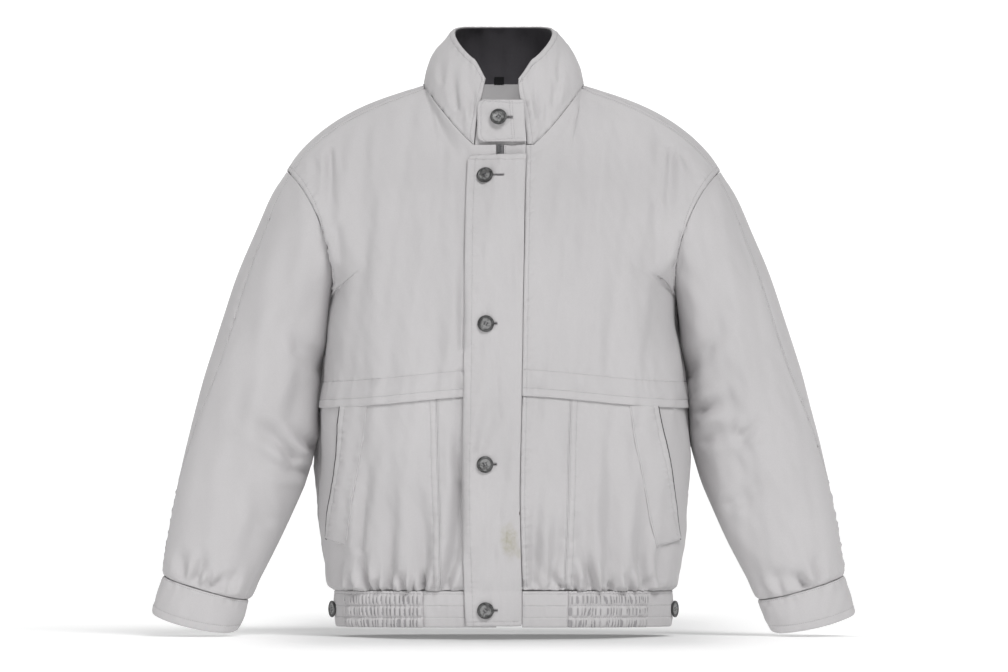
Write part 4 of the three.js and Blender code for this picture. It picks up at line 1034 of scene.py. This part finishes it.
# the two rows of topstitching along the shoulder and armhole seams
TWIN = (1.6, 7.4)
gathered_edge = sewn(pucker=0.3, valley=0.4)
for side, name in SIDES:
    beside_flap = (6.0,) if side > 0 else ()
    panel(
        f"chest_{name}", front_panel(side, centre_edge(side), None), toward_front,
        dict(top=sewn(pucker=0.1, valley=0.5),
             right=sewn(TWIN, pucker=0.3, seed=41 + side, valley=0.0, groove=0.4),
             left=sewn(beside_flap, pucker=0.34, seed=61),
             bottom=hemmed((10.5, 34.0), pucker=0.22, seed=51 + side)),
        chest_relief, step=2.9)
    panel(
        f"lower_centre_{name}", front_panel(side, centre_edge(side), seam_x, lower=True), toward_front,
        dict(right=sewn((1.8,), pucker=0.2, valley=0.1),
             left=sewn(beside_flap, pucker=0.34, seed=62),
             bottom=gathered_edge),
        lower_relief, step=2.5)
    panel(
        f"lower_side_{name}", front_panel(side, seam_x, None, lower=True), toward_front,
        dict(left=sewn((1.8, 8.6), pucker=0.26, seed=71, valley=0.1), bottom=gathered_edge),
        side_relief, step=2.6)


# ---- back ----
def back_surface(a, b):
    return back(np.where(a < 0.5, -1.0, 1.0), np.abs(2 * a - 1), b)


def back_relief(base, away, place):
    fade = smooth(place[1], CREST_SHARE, CREST_SHARE + 0.04)
    fade = fade * smooth(np.minimum(away["left"], away["right"]), 1, 14)
    pinch = lerp(0.2, 1.0, smooth(away["bottom"], 0, 8))
    x, z = base[..., 0], base[..., 2]
    gathered = 0.7 * gathers(x, z, 251) * pinch + puff(away)
    return back_folds(x, z) * fade * pinch + gathered


panel(
    "back", back_surface, lambda p: unit(vec(0 * p[..., 0], 1, 0.6)),
    dict(top=sewn(TWIN, pucker=0.22, seed=81), left=sewn(TWIN, seed=82), right=sewn(TWIN, seed=83)),
    back_relief, step=4.4,
    ledge=dict(at=((1 - NECK_COLUMN) / 2, (1 + NECK_COLUMN) / 2), share=CREST_SHARE))


# ---- sleeves and cuffs ----
def sleeve_turn(face, a, b):
    """The angle round the sleeve, from its seam to the side by the body."""
    seam = np.radians(curve(SLEEVE_SEAM[:, 0], SLEEVE_SEAM[:, 1], b))
    return lerp(seam, face * math.pi, a)


def sleeve_piece(side, face):
    def surface(a, b):
        point = tube(SLEEVE, b, sleeve_turn(face, a, b))
        point[..., 0] *= side
        return point

    creases = [c[2:] for c in SLEEVE_CREASES if c[0] == side and c[1] in (0, face)]

    def relief(base, away, place):
        x, z = np.abs(base[..., 0]), base[..., 2]
        seam_fade = smooth(np.minimum(away["left"], away["right"]), 0, 12)
        end_fade = smooth(away["top"], 1, 16) * lerp(0.25, 1.0, smooth(away["bottom"], 0, 7))
        along = 0.95 * x + 0.3 * (z + 75)
        down = -z + 0.3 * x
        seed = 90 + 2 * side + face
        drape = 2.0 * waves((along, down), (80, 200), seed)
        drape = drape + 0.5 * waves((along, down), (38, 110), seed + 9)
        turn = sleeve_turn(face, *place)
        drape = drape * lerp(0.15, 1.0, np.abs(np.sin(turn)))
        near_cuff = np.exp(-away["bottom"] / 15)
        gathered = 1.5 * waves((turn, away["bottom"]), (0.42, 120), seed + 5) * near_cuff
        swell = 1.8 * smooth(away["bottom"], 0, 6) * (1 - smooth(away["bottom"], 8, 34))
        beside_body = smooth(-z, 235, 300) * (1 - smooth(-z, 405, 452))
        against = 3.8 * beside_body * smooth(-np.cos(turn), 0.55, 0.95)
        folds = drape - crease_depth(creases, x, z) + gathered
        return folds * seam_fade * end_fade + swell + against

    return surface, relief


for side, name in SIDES:
    for face, part in ((1, "front"), (-1, "back")):
        surface, relief = sleeve_piece(side, face)
        node = f"sleeve_{part}_{name}"
        panel(
            node, surface, lambda p, face=face: toward_front(p) * face,
            dict(top=sewn(valley=0.0),
                 left=sewn((1.8,) if face < 0 else (), pucker=0.3, seed=101 + side, valley=0.6),
                 bottom=sewn(pucker=0.3)),
            relief, step=3.7, stitches=f"sleeve_{name}")

    def cuff_surface(a, b, side=side):
        point = tube(CUFF, b, a * 2 * math.pi)
        point[..., 0] *= side
        return point

    def cuff_relief(base, away, place, side=side):
        x, z = base[..., 0], base[..., 2]
        joined = smooth(np.minimum(away["left"], away["right"]), 0, 8)
        return 0.5 * waves((x, z, base[..., 1]), (38, 60, 50), 111 + side) * joined

    def out_of_cuff(p, side=side):
        centre = np.mean(p.reshape(-1, 3), 0)
        return unit((p - centre) * np.array([1, 1, 0.2]))

    panel(
        f"cuff_{name}", cuff_surface, out_of_cuff,
        dict(top=sewn((2.4,), pucker=0.3, seed=121 + side),
             bottom=hemmed((10.0,), pucker=0.22, seed=131 + side)),
        cuff_relief, step=2.6, thickness=2.0, stitches=f"sleeve_{name}")


# ---- waistband ----
# stitch lines and further rows from the band's top, and from its hem
BAND_LINES, HEM_LINE = (4.0, 19.0), 13.0
BAND_ROWS, HEM_ROWS = (6.2, 7.6, 9.5, 11.5, 13.5, 15.4, 16.8), (3.6, 5, 6.6, 8.4, 10, 11)
LOWEST_LINE = 34.0
RIBS = {"left": 22, "right": 24}
ELASTIC = dict(left_in=-102.4, left_out=-202.9, right_in=82.6, right_out=185)


def paint_groove_shade(obj, ridge):
    """Painted shade: the faces deep between two ribs get a darker copy of the cloth, for the shade in the
    grooves.
    """
    corners = (ridge[:-1, :-1], ridge[1:, :-1], ridge[:-1, 1:], ridge[1:, 1:])
    deep = (sum(corners) / 4 < 0.5).ravel()
    index = np.zeros(len(obj.data.polygons), np.int32)
    index[:len(deep)] = deep
    obj.data.materials.append(GROOVE_PAINTED_SHADE)
    obj.data.polygons.foreach_set("material_index", index)


def band(node, start, end, seed, ribs=0, step=2.4):
    ridges = []

    def surface(a, b):
        return waist(lerp(start, end, a), b)

    def relief(base, away, place):
        a, t = place
        run = away["left"]
        from_end = np.minimum(run, away["right"])
        if not ribs:
            return 0.45 * waves((run, base[..., 2]), (26, 90), seed) * smooth(from_end, 0, 6)
        phase = a * ribs + 0.25 * waves((a * ribs, t), (6, 2), seed)
        pinch = 1.0
        for number, line in enumerate((*BAND_LINES, LOWEST_LINE)):
            shift = 0.16 * waves((a * ribs,), (3.1,), seed + 10 + number)
            phase = phase + shift * smooth(away["top"], line - 1, line + 1)
            pinch = pinch - 0.7 * np.exp(-(((away["top"] - line) / 2.2) ** 2))
        ridge = np.abs(np.sin(math.pi * phase)) ** 0.9
        ridges.append(ridge + 1.2 * (1 - pinch))
        height = 3.3 + 0.6 * waves((a * ribs, t), (3, 2), seed + 2)
        ends = smooth(from_end, 0, 3) * lerp(0.3, 1.0, smooth(away["top"], 0, 3.5))
        hem = lerp(0.6, 1.0, smooth(away["bottom"], 0, 5))
        return ridge * np.clip(height, 2.2, 4.4) * pinch * ends * hem

    made = panel(
        node, surface, from_axis,
        dict(top=sewn(BAND_LINES, rows=BAND_ROWS, pucker=0.12, seed=seed, valley=0.5),
             bottom=hemmed((HEM_LINE,), rows=HEM_ROWS, pucker=0.1, roll=1.4)),
        relief, step=0.75 if ribs else step, thickness=2.4, stitches="waistband")
    if ribs:
        paint_groove_shade(made[0], ridges[0])


elastic = {place: float(waist_angle(x)) for place, x in ELASTIC.items()}
flap_end = float(waist_angle(float(flap_seam(WAIST["top"])) + SEAM_GAP))
band("waistband_front_left", elastic["left_in"], float(waist_angle(CENTRE_LEFT)), 141)
band("waistband_elastic_left", elastic["left_out"], elastic["left_in"], 142, RIBS["left"])
band("waistband_front_right", flap_end, elastic["right_in"], 143)
band("waistband_elastic_right", elastic["right_in"], elastic["right_out"], 144, RIBS["right"])
band("waistband_back", elastic["right_out"], elastic["left_out"] + 2 * math.pi, 145, step=3.2)


# ---- collar, lining and label ----
def collar_relief(angle, t):
    """Soft ripples over both collar layers alike."""
    home = collar_point(angle, np.clip(t, 0, 1))
    from_end = np.minimum(np.abs(angle), 2 * math.pi - np.abs(angle)) - COLLAR_END
    x, z = home[..., 0], home[..., 2]
    ripple = 0.9 * waves((x + 0.4 * home[..., 1], z), (46, 190), 151) + 0.4 * waves((x, z), (21, 90), 152)
    fade = smooth(t, 0, 0.12) * smooth(1 - t, 0, 0.12) * smooth(from_end, 0, 0.1)
    forward = home[..., 1] < 0
    folds = np.where(forward, crease_depth(COLLAR_CREASES, x, z), 0)
    return (ripple - folds) * fade * lerp(0.3, 1.0, np.abs(np.cos(angle)))


def collar_layer(inset, low, high, ends=0.0):
    def surface(a, b):
        angle = lerp(-COLLAR_END - ends, COLLAR_END + ends - 2 * math.pi, a)
        t = lerp(high, low(angle) if callable(low) else low, b)
        point = collar_point(angle, t)
        step = 0.01
        tc = np.clip(t, step, 1 - step)
        around = collar_point(angle + step, tc) - collar_point(angle - step, tc)
        normal = unit(np.cross(around, collar_point(angle, tc + step) - collar_point(angle, tc - step)))
        normal *= np.sign((normal * point * np.array([1, 1, 0])).sum(-1, keepdims=True))
        return point + normal * (collar_relief(angle, t) - inset)[..., None]

    return surface


def collar_hem(pucker, seed):
    return hemmed((7.0,), roll=1.3, pucker=pucker, seed=seed)


panel(
    "collar", collar_layer(0, 0.0, 1.0), from_axis,
    dict(top=collar_hem(0.2, 161), left=collar_hem(0.25, 162), right=collar_hem(0.25, 163),
         bottom=sewn((2.0,), pucker=0.2, seed=164, valley=0.5)),
    step=2.8, thickness=2.0, stitches="collar")


def lining_foot(angle):
    """The lining runs on below the seam at the back, where the light turning shows."""
    return -0.07 - 0.28 * smooth(-np.cos(angle), 0.5, 0.85)


panel(
    "collar_lining", collar_layer(3.2, lining_foot, 0.995, 0.03), from_axis, all_round(sewn(valley=0)),
    step=3.2, thickness=0.8, material=LINING)
# y and z past which the lining's foot is the shell's light cloth
TURNING = (30, 38.4)
lining_mesh = PIECES["collar_lining"][0].data
lining_mesh.materials.append(SHELL)
centres = np.empty(len(lining_mesh.polygons) * 3, np.float32)
lining_mesh.polygons.foreach_get("center", centres)
centres = centres.reshape(-1, 3) / MM
turning = (centres[:, 1] > TURNING[0]) & (centres[:, 2] < TURNING[1])
lining_mesh.polygons.foreach_set("material_index", turning.astype(np.int32))


def label_surface(a, b):
    x = lerp(-10.9, 0.6, a)
    angle = -(math.pi + np.arcsin(x / 90))
    share = (angle + COLLAR_END) / (2 * COLLAR_END - 2 * math.pi)
    return collar_layer(4.9, 0.0, 1.0)(share, 1 - lerp(0.085, -0.05, b))


panel(
    "neck_label", label_surface, lambda p: -toward_front(p), all_round(hemmed(roll=0.3)),
    step=1.2, thickness=0.6, material=LABEL)


# ---- throat ----
THROAT = dict(top=17.3, bottom=-36.5, left=-33.9, right=29.5, corner=9, taper=4)


def throat_surface(a, b):
    z = lerp(THROAT["top"], THROAT["bottom"], b)
    corner = THROAT["corner"]
    near = np.maximum(
        np.clip(1 - (THROAT["top"] - z) / corner, 0, 1), np.clip(1 - (z - THROAT["bottom"]) / corner, 0, 1))
    left = THROAT["left"] + corner * (1 - np.sqrt(1 - near**2))
    x = lerp(left, THROAT["right"] - THROAT["taper"] * (1 - b), a)
    return vec(x, throat_y(x, z), z)


def tab_relief(x, z):
    return 0.5 * waves((x, z), (30, 40), 181)


tab = panel(
    "throat_tab", throat_surface, toward_front,
    {**all_round(hemmed((5.0,), roll=1.2, pucker=0.15)),
     "right": hemmed((15.0, 18.5), roll=1.0, pucker=0.15)},
    by_place(tab_relief), step=1.6, thickness=1.7, stitches="collar")


def underlap_surface(a, b):
    t = lerp(0.66, -0.03, b)
    left, right = collar_point(-COLLAR_END + 0 * t, t), collar_point(COLLAR_END + 0 * t, t)
    point = lerp(left, right, lerp(0.02, 0.98, a)[..., None])
    point[..., 1] += 1.0
    return point


panel(
    "throat_underlap", underlap_surface, toward_front,
    dict(top=hemmed(), bottom=hemmed()), step=2.0, thickness=1.6)


# ---- storm flap, zip and placket ----
def flap_left(z):
    near = np.clip(1 - (FLAP["top"] - z) / FLAP["corner"], 0, 1)
    return curve(FLAP_ROWS[:, 0], FLAP_ROWS[:, 1], z) + FLAP["corner"] * (1 - np.sqrt(1 - near * near))


def flap_offset(x, z):
    off_root = smooth(flap_seam(z) - x, 0, 14)
    near_neck = FLAP["rise"] * smooth(z, -230, -150)
    below = np.where(z < hem_z(x) - 3, lerp(0.35, 1, smooth(z, -385, -362)), 1.0)
    stand = 2.6 * smooth(-z, 330, 385) * (1 - smooth(-z, 535, 590)) * smooth(flap_seam(z) - x, 32, 72)
    return FLAP["offset"] * off_root + near_neck + lap_rise(x, z) * below + stand


def strip(left, right, top, bottom, offset):
    def surface(a, b):
        z = lerp(top, bottom, b)
        x = lerp(left(z), right(z), a)
        return on_front(x, z, offset(x, z))

    return surface


def strip_folds(x, z):
    """The front's folds, which fade over the waistband."""
    return front_relief(x, z) * lerp(0.25, 1.0, smooth(z, -606, -560))


def flap_relief(base, away, place):
    x, z = base[..., 0], base[..., 2]
    own = 0.5 * waves((x, z), (40, 160), 191) + 0.25 * waves((x, z), (16, 60), 192)
    return strip_folds(x, z) + own * smooth(away["right"], 0, 12) + 0.4


def constant(value):
    """A function that gives one value wherever it is asked."""
    return lambda *args: np.full(np.shape(args[0]), float(value))


flap = panel(
    "storm_flap", strip(flap_left, flap_seam, FLAP["top"], FLAP["bottom"], flap_offset), toward_front,
    dict(left=hemmed((10.0,), roll=1.5, pucker=0.3, seed=201),
         top=hemmed((8.0,), roll=1.5, pucker=0.2, seed=202),
         right=sewn(pucker=0.3), bottom=hemmed((6.0,), roll=1.4)),
    flap_relief, step=2.4, thickness=1.8, material=FLAP_CLOTH, stitches="flap")
ZIP = dict(top=-39, bottom=-652, tape=-0.9, placket=-(CLOTH + 0.6))
panel(
    "zip", strip(constant(ZIP_LEFT), constant(ZIP_RIGHT), ZIP["top"], ZIP["bottom"], constant(ZIP["tape"])),
    toward_front, dict(), by_place(strip_folds), step=2.4, thickness=0.8, material=TAPE)
panel(
    "placket", strip(constant(PLACKET_LEFT), flap_seam, ZIP["top"], ZIP["bottom"], constant(ZIP["placket"])),
    toward_front, dict(left=hemmed((2.5,), roll=0.8)), by_place(strip_folds), step=2.8, thickness=1.4)


# ---- pocket welts ----
WELT = dict(top=-371, bottom=-543.5, slant=11.5)
# x away from the middle: outer at the top, inner at the top, outer and inner at the bottom
WELT_EDGES = {-1: (205.4, 172, 224, 201.6), 1: (194.4, 159.5, 222, 193.3)}


def welt_surface(side):
    top_out, top_in, bottom_out, bottom_in = WELT_EDGES[side]

    def surface(a, b):
        z = lerp(WELT["top"], WELT["bottom"], b) - WELT["slant"] * a * b
        outer, inner = lerp(top_out, bottom_out, b**0.8), lerp(top_in, bottom_in, b)
        return on_front(side * lerp(outer, inner, a), z, lerp(2.9, 1.7, smooth(a, 0.35, 1.0)))

    return surface


for side, name in SIDES:
    panel(
        f"pocket_welt_{name}", welt_surface(side), toward_front,
        dict(left=hemmed((9.0,), roll=1.4, pucker=0.3, seed=211 + side),
             right=sewn((2.0,), pucker=0.2, seed=221 + side, valley=0.5),
             bottom=sewn((2.0,), valley=0.5, pucker=0.1), top=sewn()),
        by_place(front_relief), step=2.4, thickness=1.6)


# ---- buttons ----
BUTTON_SIZE = dict(radius=10.7, thickness=3.2, dish=0.8)
HOLE_AT, HOLE_RADIUS = 2.3 / math.sqrt(2), 0.95
BUTTON_SPOKES, BUTTON_FACE_RINGS = 72, 21


def button_mesh():
    """A four-hole button with a rolled rim, seat at z = 0 and face towards +z."""
    r, h, dish = BUTTON_SIZE["radius"], BUTTON_SIZE["thickness"], BUTTON_SIZE["dish"]
    outer_radii = [4.6, 5.4, 6.3, 7.0, 7.4, 7.8, 8.3, 8.9, 9.5, 10.0, 10.35]
    radii = np.concatenate([[0.02], np.arange(0.25, 4.2, 0.24), outer_radii])
    theta = np.linspace(0, 2 * math.pi, BUTTON_SPOKES + 1)[:-1]
    rr, tt = np.meshgrid(radii, theta, indexing="ij")
    x, y = rr * np.cos(tt), rr * np.sin(tt)
    floor = h - dish - 0.25 * (1 - smooth(rr, 3, 6))
    rim = dish * np.exp(-(((rr - 8.7) / 1.15) ** 2))
    top = floor + rim - 0.5 * smooth(rr, 9.6, 10.6)
    for hx, hy in ((1, 1), (1, -1), (-1, 1), (-1, -1)):
        d = np.hypot(x - hx * HOLE_AT, y - hy * HOLE_AT)
        top = top - 1.3 * (1 - smooth(d, HOLE_RADIUS * 0.75, HOLE_RADIUS * 1.15))
    # radius, height
    side_profile = [
        (r - 0.12, h * 0.78), (r, h * 0.58), (r - 0.05, h * 0.4),
        (r * 0.93, h * 0.14), (r * 0.82, 0), (0.02, 0)]
    rings = [np.stack([x, y, top], -1)]
    for radius, height in side_profile:
        rings.append(vec(radius * np.cos(theta), radius * np.sin(theta), height)[None])
    points = np.concatenate(rings)
    rows, cols = points.shape[:2]
    quads = grid_faces(grid_index(rows, cols, loop=True))[:, [0, 3, 2, 1]]
    spokes = np.arange(BUTTON_SPOKES)
    caps = [spokes[None, :], ((rows - 1) * cols + spokes)[None, ::-1]]
    return points.reshape(-1, 3), [quads, *caps]


def frame_for(outward):
    outward = np.asarray(outward, float) / np.linalg.norm(outward)
    across = np.cross([0, 0, 1.0], outward)
    across /= np.linalg.norm(across)
    return np.stack([across, np.cross(outward, across), outward], 0)


def tilted(points, centre, outward, turn=0.0):
    c, s = math.cos(turn), math.sin(turn)
    spun = points @ np.array([[c, s, 0], [-s, c, 0], [0, 0, 1]])
    return spun @ frame_for(outward) + centre


def loops_mesh(pairs, steps=9, sides=6):
    """Thread bars across the button's holes."""
    verts, faces = [], []
    seat = BUTTON_SIZE["thickness"] - BUTTON_SIZE["dish"] - 0.55
    s = np.linspace(0, 1, steps)
    ring = np.linspace(0, 2 * math.pi, sides + 1)[:-1]
    for number, ((x0, y0), (x1, y1)) in enumerate(pairs):
        along = np.array([x1 - x0, y1 - y0]) / math.hypot(x1 - x0, y1 - y0)
        x = lerp(x0, x1, s)[:, None] - along[1] * 0.38 * np.cos(ring)
        y = lerp(y0, y1, s)[:, None] + along[0] * 0.38 * np.cos(ring)
        z = seat + 0.75 * np.sin(math.pi * s)[:, None] ** 0.5 + 0.3 * np.sin(ring)
        faces.append(number * steps * sides + grid_faces(grid_index(steps, sides, loop=True)))
        verts.append(vec(x, y, z).reshape(-1, 3))
    return np.concatenate(verts), np.concatenate(faces)


def place_button(node, centre, outward, turn):
    points, faces = button_mesh()
    obj = new_object(f"{node}_disc", tilted(points, centre, outward, turn), faces)
    obj.data.materials.append(BUTTON)
    obj.data.materials.append(BUTTON_RIM_PAINTED_SHADE)
    # the rim and sides take the darker copy: painted shade
    rim = np.zeros(len(obj.data.polygons), np.int32)
    rim[BUTTON_SPOKES * BUTTON_FACE_RINGS:-2] = 1
    obj.data.polygons.foreach_set("material_index", rim)
    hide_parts(node)
    points, faces = loops_mesh([((-HOLE_AT, y), (HOLE_AT, y)) for y in (-HOLE_AT, HOLE_AT)])
    thread = new_object(f"{node}_thread", tilted(points, centre, outward, turn), faces)
    thread.data.materials.append(THREAD_DARK)


# x, z
FLAP_BUTTONS = [(-23.3, -80.5), (-22.4, -269.4), (-23.9, -448.6), (-23, -634.9)]


def seat_on(piece, x, z):
    """A button's seat on a piece at a place of the front view, and the direction that it faces."""
    _, outer, normals, _ = piece
    d = np.hypot(outer[..., 0] - x, outer[..., 2] - z)
    close = d < BUTTON_SIZE["radius"] + 0.3
    normal = normals[close].mean(0)
    normal /= np.linalg.norm(normal)
    height = (outer[close] @ normal).max()
    centre = outer.reshape(-1, 3)[d.argmin()]
    centre = centre + np.array([x - centre[0], 0, z - centre[2]])
    return centre + normal * (height - centre @ normal), normal


for i, (x, z) in enumerate(FLAP_BUTTONS):
    centre, normal = seat_on(flap, x, z)
    place_button(f"button_flap_{i + 1}", centre - normal * 0.2, normal, 0.4 + 0.7 * i)
centre, normal = seat_on(tab, -6.3, -5.4)
tipped = unit(normal + np.array([0, 0, 0.32]))
place_button("button_throat", centre + normal * 1.6, tipped, 0.9)
WAIST_BUTTON = dict(at=math.radians(83), faces=math.radians(66), share=0.52)
for side, name in SIDES:
    point = waist(np.array(side * WAIST_BUTTON["at"]), np.array(WAIST_BUTTON["share"]))
    outward = np.array([side * math.sin(WAIST_BUTTON["faces"]), -math.cos(WAIST_BUTTON["faces"]), 0])
    place_button(f"button_waist_{name}", point + outward * 2.6, outward, 0.3)


# ---- zip teeth ----
def zip_teeth():
    """Two rows of small tapered blocks that mesh in the middle of the tape."""
    centre_x = (ZIP_LEFT + ZIP_RIGHT) / 2
    z = np.arange(ZIP["top"] - 2, ZIP["bottom"] + 2, -1.5)
    x = np.where(np.arange(len(z)) % 2, centre_x + 0.8, centre_x - 0.8)
    base = on_front(x, z, np.zeros(len(z)) - 0.6)
    base = base + toward_front(base) * strip_folds(x, z)[..., None]
    box = np.array([
        (-1, 0.2, -1), (1, 0.2, -1), (1, 0.2, 1), (-1, 0.2, 1), (-0.75, -0.9, -0.6), (0.75, -0.9, -0.6),
        (0.75, -0.9, 0.6), (-0.75, -0.9, 0.6)]) * np.array([1.5, 1, 0.5])
    verts = (base[:, None] + box[None]).reshape(-1, 3)
    quad = np.array([(0, 1, 2, 3), (4, 7, 6, 5), (0, 4, 5, 1), (1, 5, 6, 2), (2, 6, 7, 3), (3, 7, 4, 0)])
    faces = (np.arange(len(z))[:, None, None] * 8 + quad[None]).reshape(-1, 4)
    obj = new_object("zip_teeth", verts, faces, smooth_shaded=False)
    obj.data.materials.append(TEETH)


zip_teeth()


# ---- buttonholes and pocket openings: dark strips of painted shadow in the openings ----
def on_grid(piece, xs, z):
    """Points and directions of a piece's own surface along a level line of the front view."""
    flat, ups = piece[1].reshape(-1, 3), piece[2].reshape(-1, 3)
    points, outs = [], []
    for x in xs:
        d = np.hypot(flat[:, 0] - x, flat[:, 2] - z)
        nearest = np.argsort(d)[:4]
        weight = 1 / (d[nearest] + 0.2)
        rise = ups[nearest, 0] * (x - flat[nearest, 0]) + ups[nearest, 2] * (z - flat[nearest, 2])
        slope = rise / ups[nearest, 1]
        points.append((x, ((flat[nearest, 1] - slope) * weight).sum() / weight.sum(), z))
        outs.append(ups[nearest].mean(0))
    return np.array(points), unit(np.array(outs))


def slit(name, points, ups, half, lift):
    """A narrow dark strip of painted shadow along a line, pointed at both ends."""
    way = unit(np.gradient(points, axis=0))
    aside = unit(np.cross(way, ups))
    count = len(points)
    taper = half * np.sin(np.linspace(0.12, math.pi - 0.12, count)) ** 0.35
    mid = points + ups * lift
    one, other = mid + aside * taper[:, None], mid - aside * taper[:, None]
    ring = np.concatenate([one, other, mid - ups * 0.5])
    i = np.arange(count - 1)
    quads = np.concatenate([
        np.stack([i, i + 1, i + 1 + count, i + count], -1),
        np.stack([i + count, i + 1 + count, i + 1 + 2 * count, i + 2 * count], -1),
        np.stack([i + 2 * count, i + 1 + 2 * count, i + 1, i], -1)])
    obj = new_object(name, ring, quads)
    obj.data.materials.append(PAINTED_SLIT_SHADOW)


def buttonhole(name, piece, x, z, length):
    """A row of thread bars on either side of a dark slit of painted shadow."""
    points, ups = on_grid(piece, x + np.linspace(0, length, int(length / 0.55)), z)
    verts, faces = [], []
    half = np.array([0.27, 0, 0])
    for point, up in zip(points, ups):
        for way in (-1, 1):
            a = point + np.array([0, 0, way * 0.5]) + up * 0.15
            b = point + np.array([0, 0, way * 2.0]) + up * 0.1
            start = len(verts)
            verts += [a + half, a + up * 0.4, a - half, b + half, b + up * 0.35, b - half]
            faces += [(start, start + 1, start + 4, start + 3), (start + 1, start + 2, start + 5, start + 4),
                      (start + 2, start, start + 3, start + 5)]
    thread = new_object(f"{name}_edge", np.array(verts), np.array(faces))
    thread.data.materials.append(THREAD)
    points, ups = on_grid(piece, np.linspace(x - 0.3, x + length + 0.3, 12), z)
    slit(f"{name}_slit", points, ups, 0.5, 0.28)


# x, z, length of what shows beside the button
FLAP_HOLES = [(-13.5, -79.5, 14), (-14.0, -269.0, 6), (-14.5, -448.4, 6), (-13.5, -634.6, 6)]
for number, hole in enumerate(FLAP_HOLES, 1):
    buttonhole(f"buttonhole_{number}", flap, *hole)
buttonhole("buttonhole_throat", tab, 3.5, -5.2, 8)
for side, name in SIDES:
    _, outer, ups, away = PIECES[f"pocket_welt_{name}"]
    foot = int(np.argmin(np.abs(away["left"][-1] - 8.5)))
    line = np.concatenate([outer[3:-1, 0], outer[-1, :foot]])
    lift = np.concatenate([outer[3:-1, 3], outer[-4, :foot]])
    line = line + [side * 0.5, 0, 0]
    line[:, 1] = lerp(line[:, 1], lift[:, 1], 0.6)
    slit(f"pocket_opening_{name}", line, np.tile([0.0, -1.0, 0.0], (len(line), 1)), 0.75, 0.35)


# ---- stitching ----
for number, (group, lines) in enumerate(sorted(STITCHES.items())):
    stitching = stitch_mesh(f"stitching_{group}", lines, 300 + number)
    stitching.data.materials.append(THREAD)


# ---- every sheet of cloth and the size that it was cut to, worked out here and not kept ----
LEAST_SIDE, LEAST_SHARE = 0.011, 0.31
SLOTS = {"collar_lining": "charcoal_lining", "neck_label": "label", "zip": "zip_grey"}
# width and length across the widest parts, area where it isn't a rectangle, all in metres
for node, (obj, outer, _, _) in PIECES.items():
    width, length = float(arc(outer, 1)[:, -1].max()) * MM, float(arc(outer, 0)[-1].max()) * MM
    cells = np.cross(outer[1:, :-1] - outer[:-1, :-1], outer[:-1, 1:] - outer[:-1, :-1])
    area = float(np.linalg.norm(cells, axis=-1).sum()) * MM**2
    area = min(max(area, LEAST_SHARE * width * length), width * length)
    max(width, LEAST_SIDE)
    max(length, LEAST_SIDE)
    SLOTS.get(node, "shell_cloth")


# ---- floor and light, in metres ----
FLOOR = dict(z=-0.6695, rise=2.6, rise_from=24, rise_over=6)


def stage():
    """A pale floor that dips in front of the jacket and turns up far away on all sides."""
    near = [0, 0.2, 0.45, 0.8, 1.4, 2.6, 5, 10, 18, 24, 25, 26, 27, 28, 29, 30]
    x = np.array([-v for v in near[:0:-1]] + near, float)
    y = np.concatenate([x[x < -1.5], np.arange(-1.4, 0.02, 0.04), x[x > 0.1]])
    xx, yy = np.meshgrid(x, y)
    dip = 0.05 * smooth(-yy, 0.05, 0.56) + 0.06 * smooth(-yy, 0.55, 1.25)
    beyond = np.maximum(np.abs(xx), np.abs(yy)) - FLOOR["rise_from"]
    rise = FLOOR["rise"] * np.clip(beyond / FLOOR["rise_over"], 0, 1) ** 2
    verts = np.stack([xx, yy, rise - dip + FLOOR["z"]], -1).reshape(-1, 3)
    mesh = bpy.data.meshes.new("floor")
    mesh.from_pydata(verts.tolist(), [], grid_faces(grid_index(*xx.shape)).tolist())
    mesh.update()
    obj = bpy.data.objects.new("floor", mesh)
    bpy.context.collection.objects.link(obj)
    for polygon in mesh.polygons:
        polygon.use_smooth = True
    t = Tree("floor_white_painted_shadow")
    parts = t.node("ShaderNodeSeparateXYZ")
    t.link(t.coords, parts.inputs[0])
    aside = t.fade(t.math("ABSOLUTE", parts.outputs[0]), 0.2, 0.37, 1.0, 0.0)
    fore = t.fade(parts.outputs[1], -0.27, -0.14)
    behind = t.fade(parts.outputs[1], 0.9, 2.4, 1.0, 0.0)
    # a soft shadow painted under the jacket, darkening the floor's colour and its glow
    shade = t.math("MULTIPLY", t.math("MULTIPLY", aside, fore), behind)
    t.link(t.mix(shade, grey(0.9), grey(0.67)), t.shader.inputs["Base Color"])
    t.link(t.mix(shade, grey(1.0), grey(0.74)), t.shader.inputs["Emission Color"])
    t.set(Roughness=0.9, Specular_IOR_Level=0.1, Emission_Strength=0.25)
    obj.data.materials.append(t.material)


stage()


def sun(name, toward, strength, softness):
    """A soft directional light; toward is the direction that it shines in."""
    data = bpy.data.lights.new(name, "SUN")
    data.energy = strength
    data.angle = math.radians(softness)
    obj = bpy.data.objects.new(name, data)
    bpy.context.collection.objects.link(obj)
    obj.location = (0, -3, 3)
    obj.rotation_euler = Vector(toward).to_track_quat("-Z", "Y").to_euler()


sun("key", (-0.4, 1.0, -1.0), 1.9, 24)
sun("fill", (0.9, 1.0, -0.3), 0.5, 14)
sun("top", (0.1, -0.6, -1.0), 1.1, 90)
WORLD_STRENGTH = 0.12
world = bpy.data.worlds.new("world")
bpy.context.scene.world = world
world.use_nodes = True
background = world.node_tree.nodes["Background"]
background.inputs["Color"].default_value = (1, 1, 1, 1)
background.inputs["Strength"].default_value = WORLD_STRENGTH
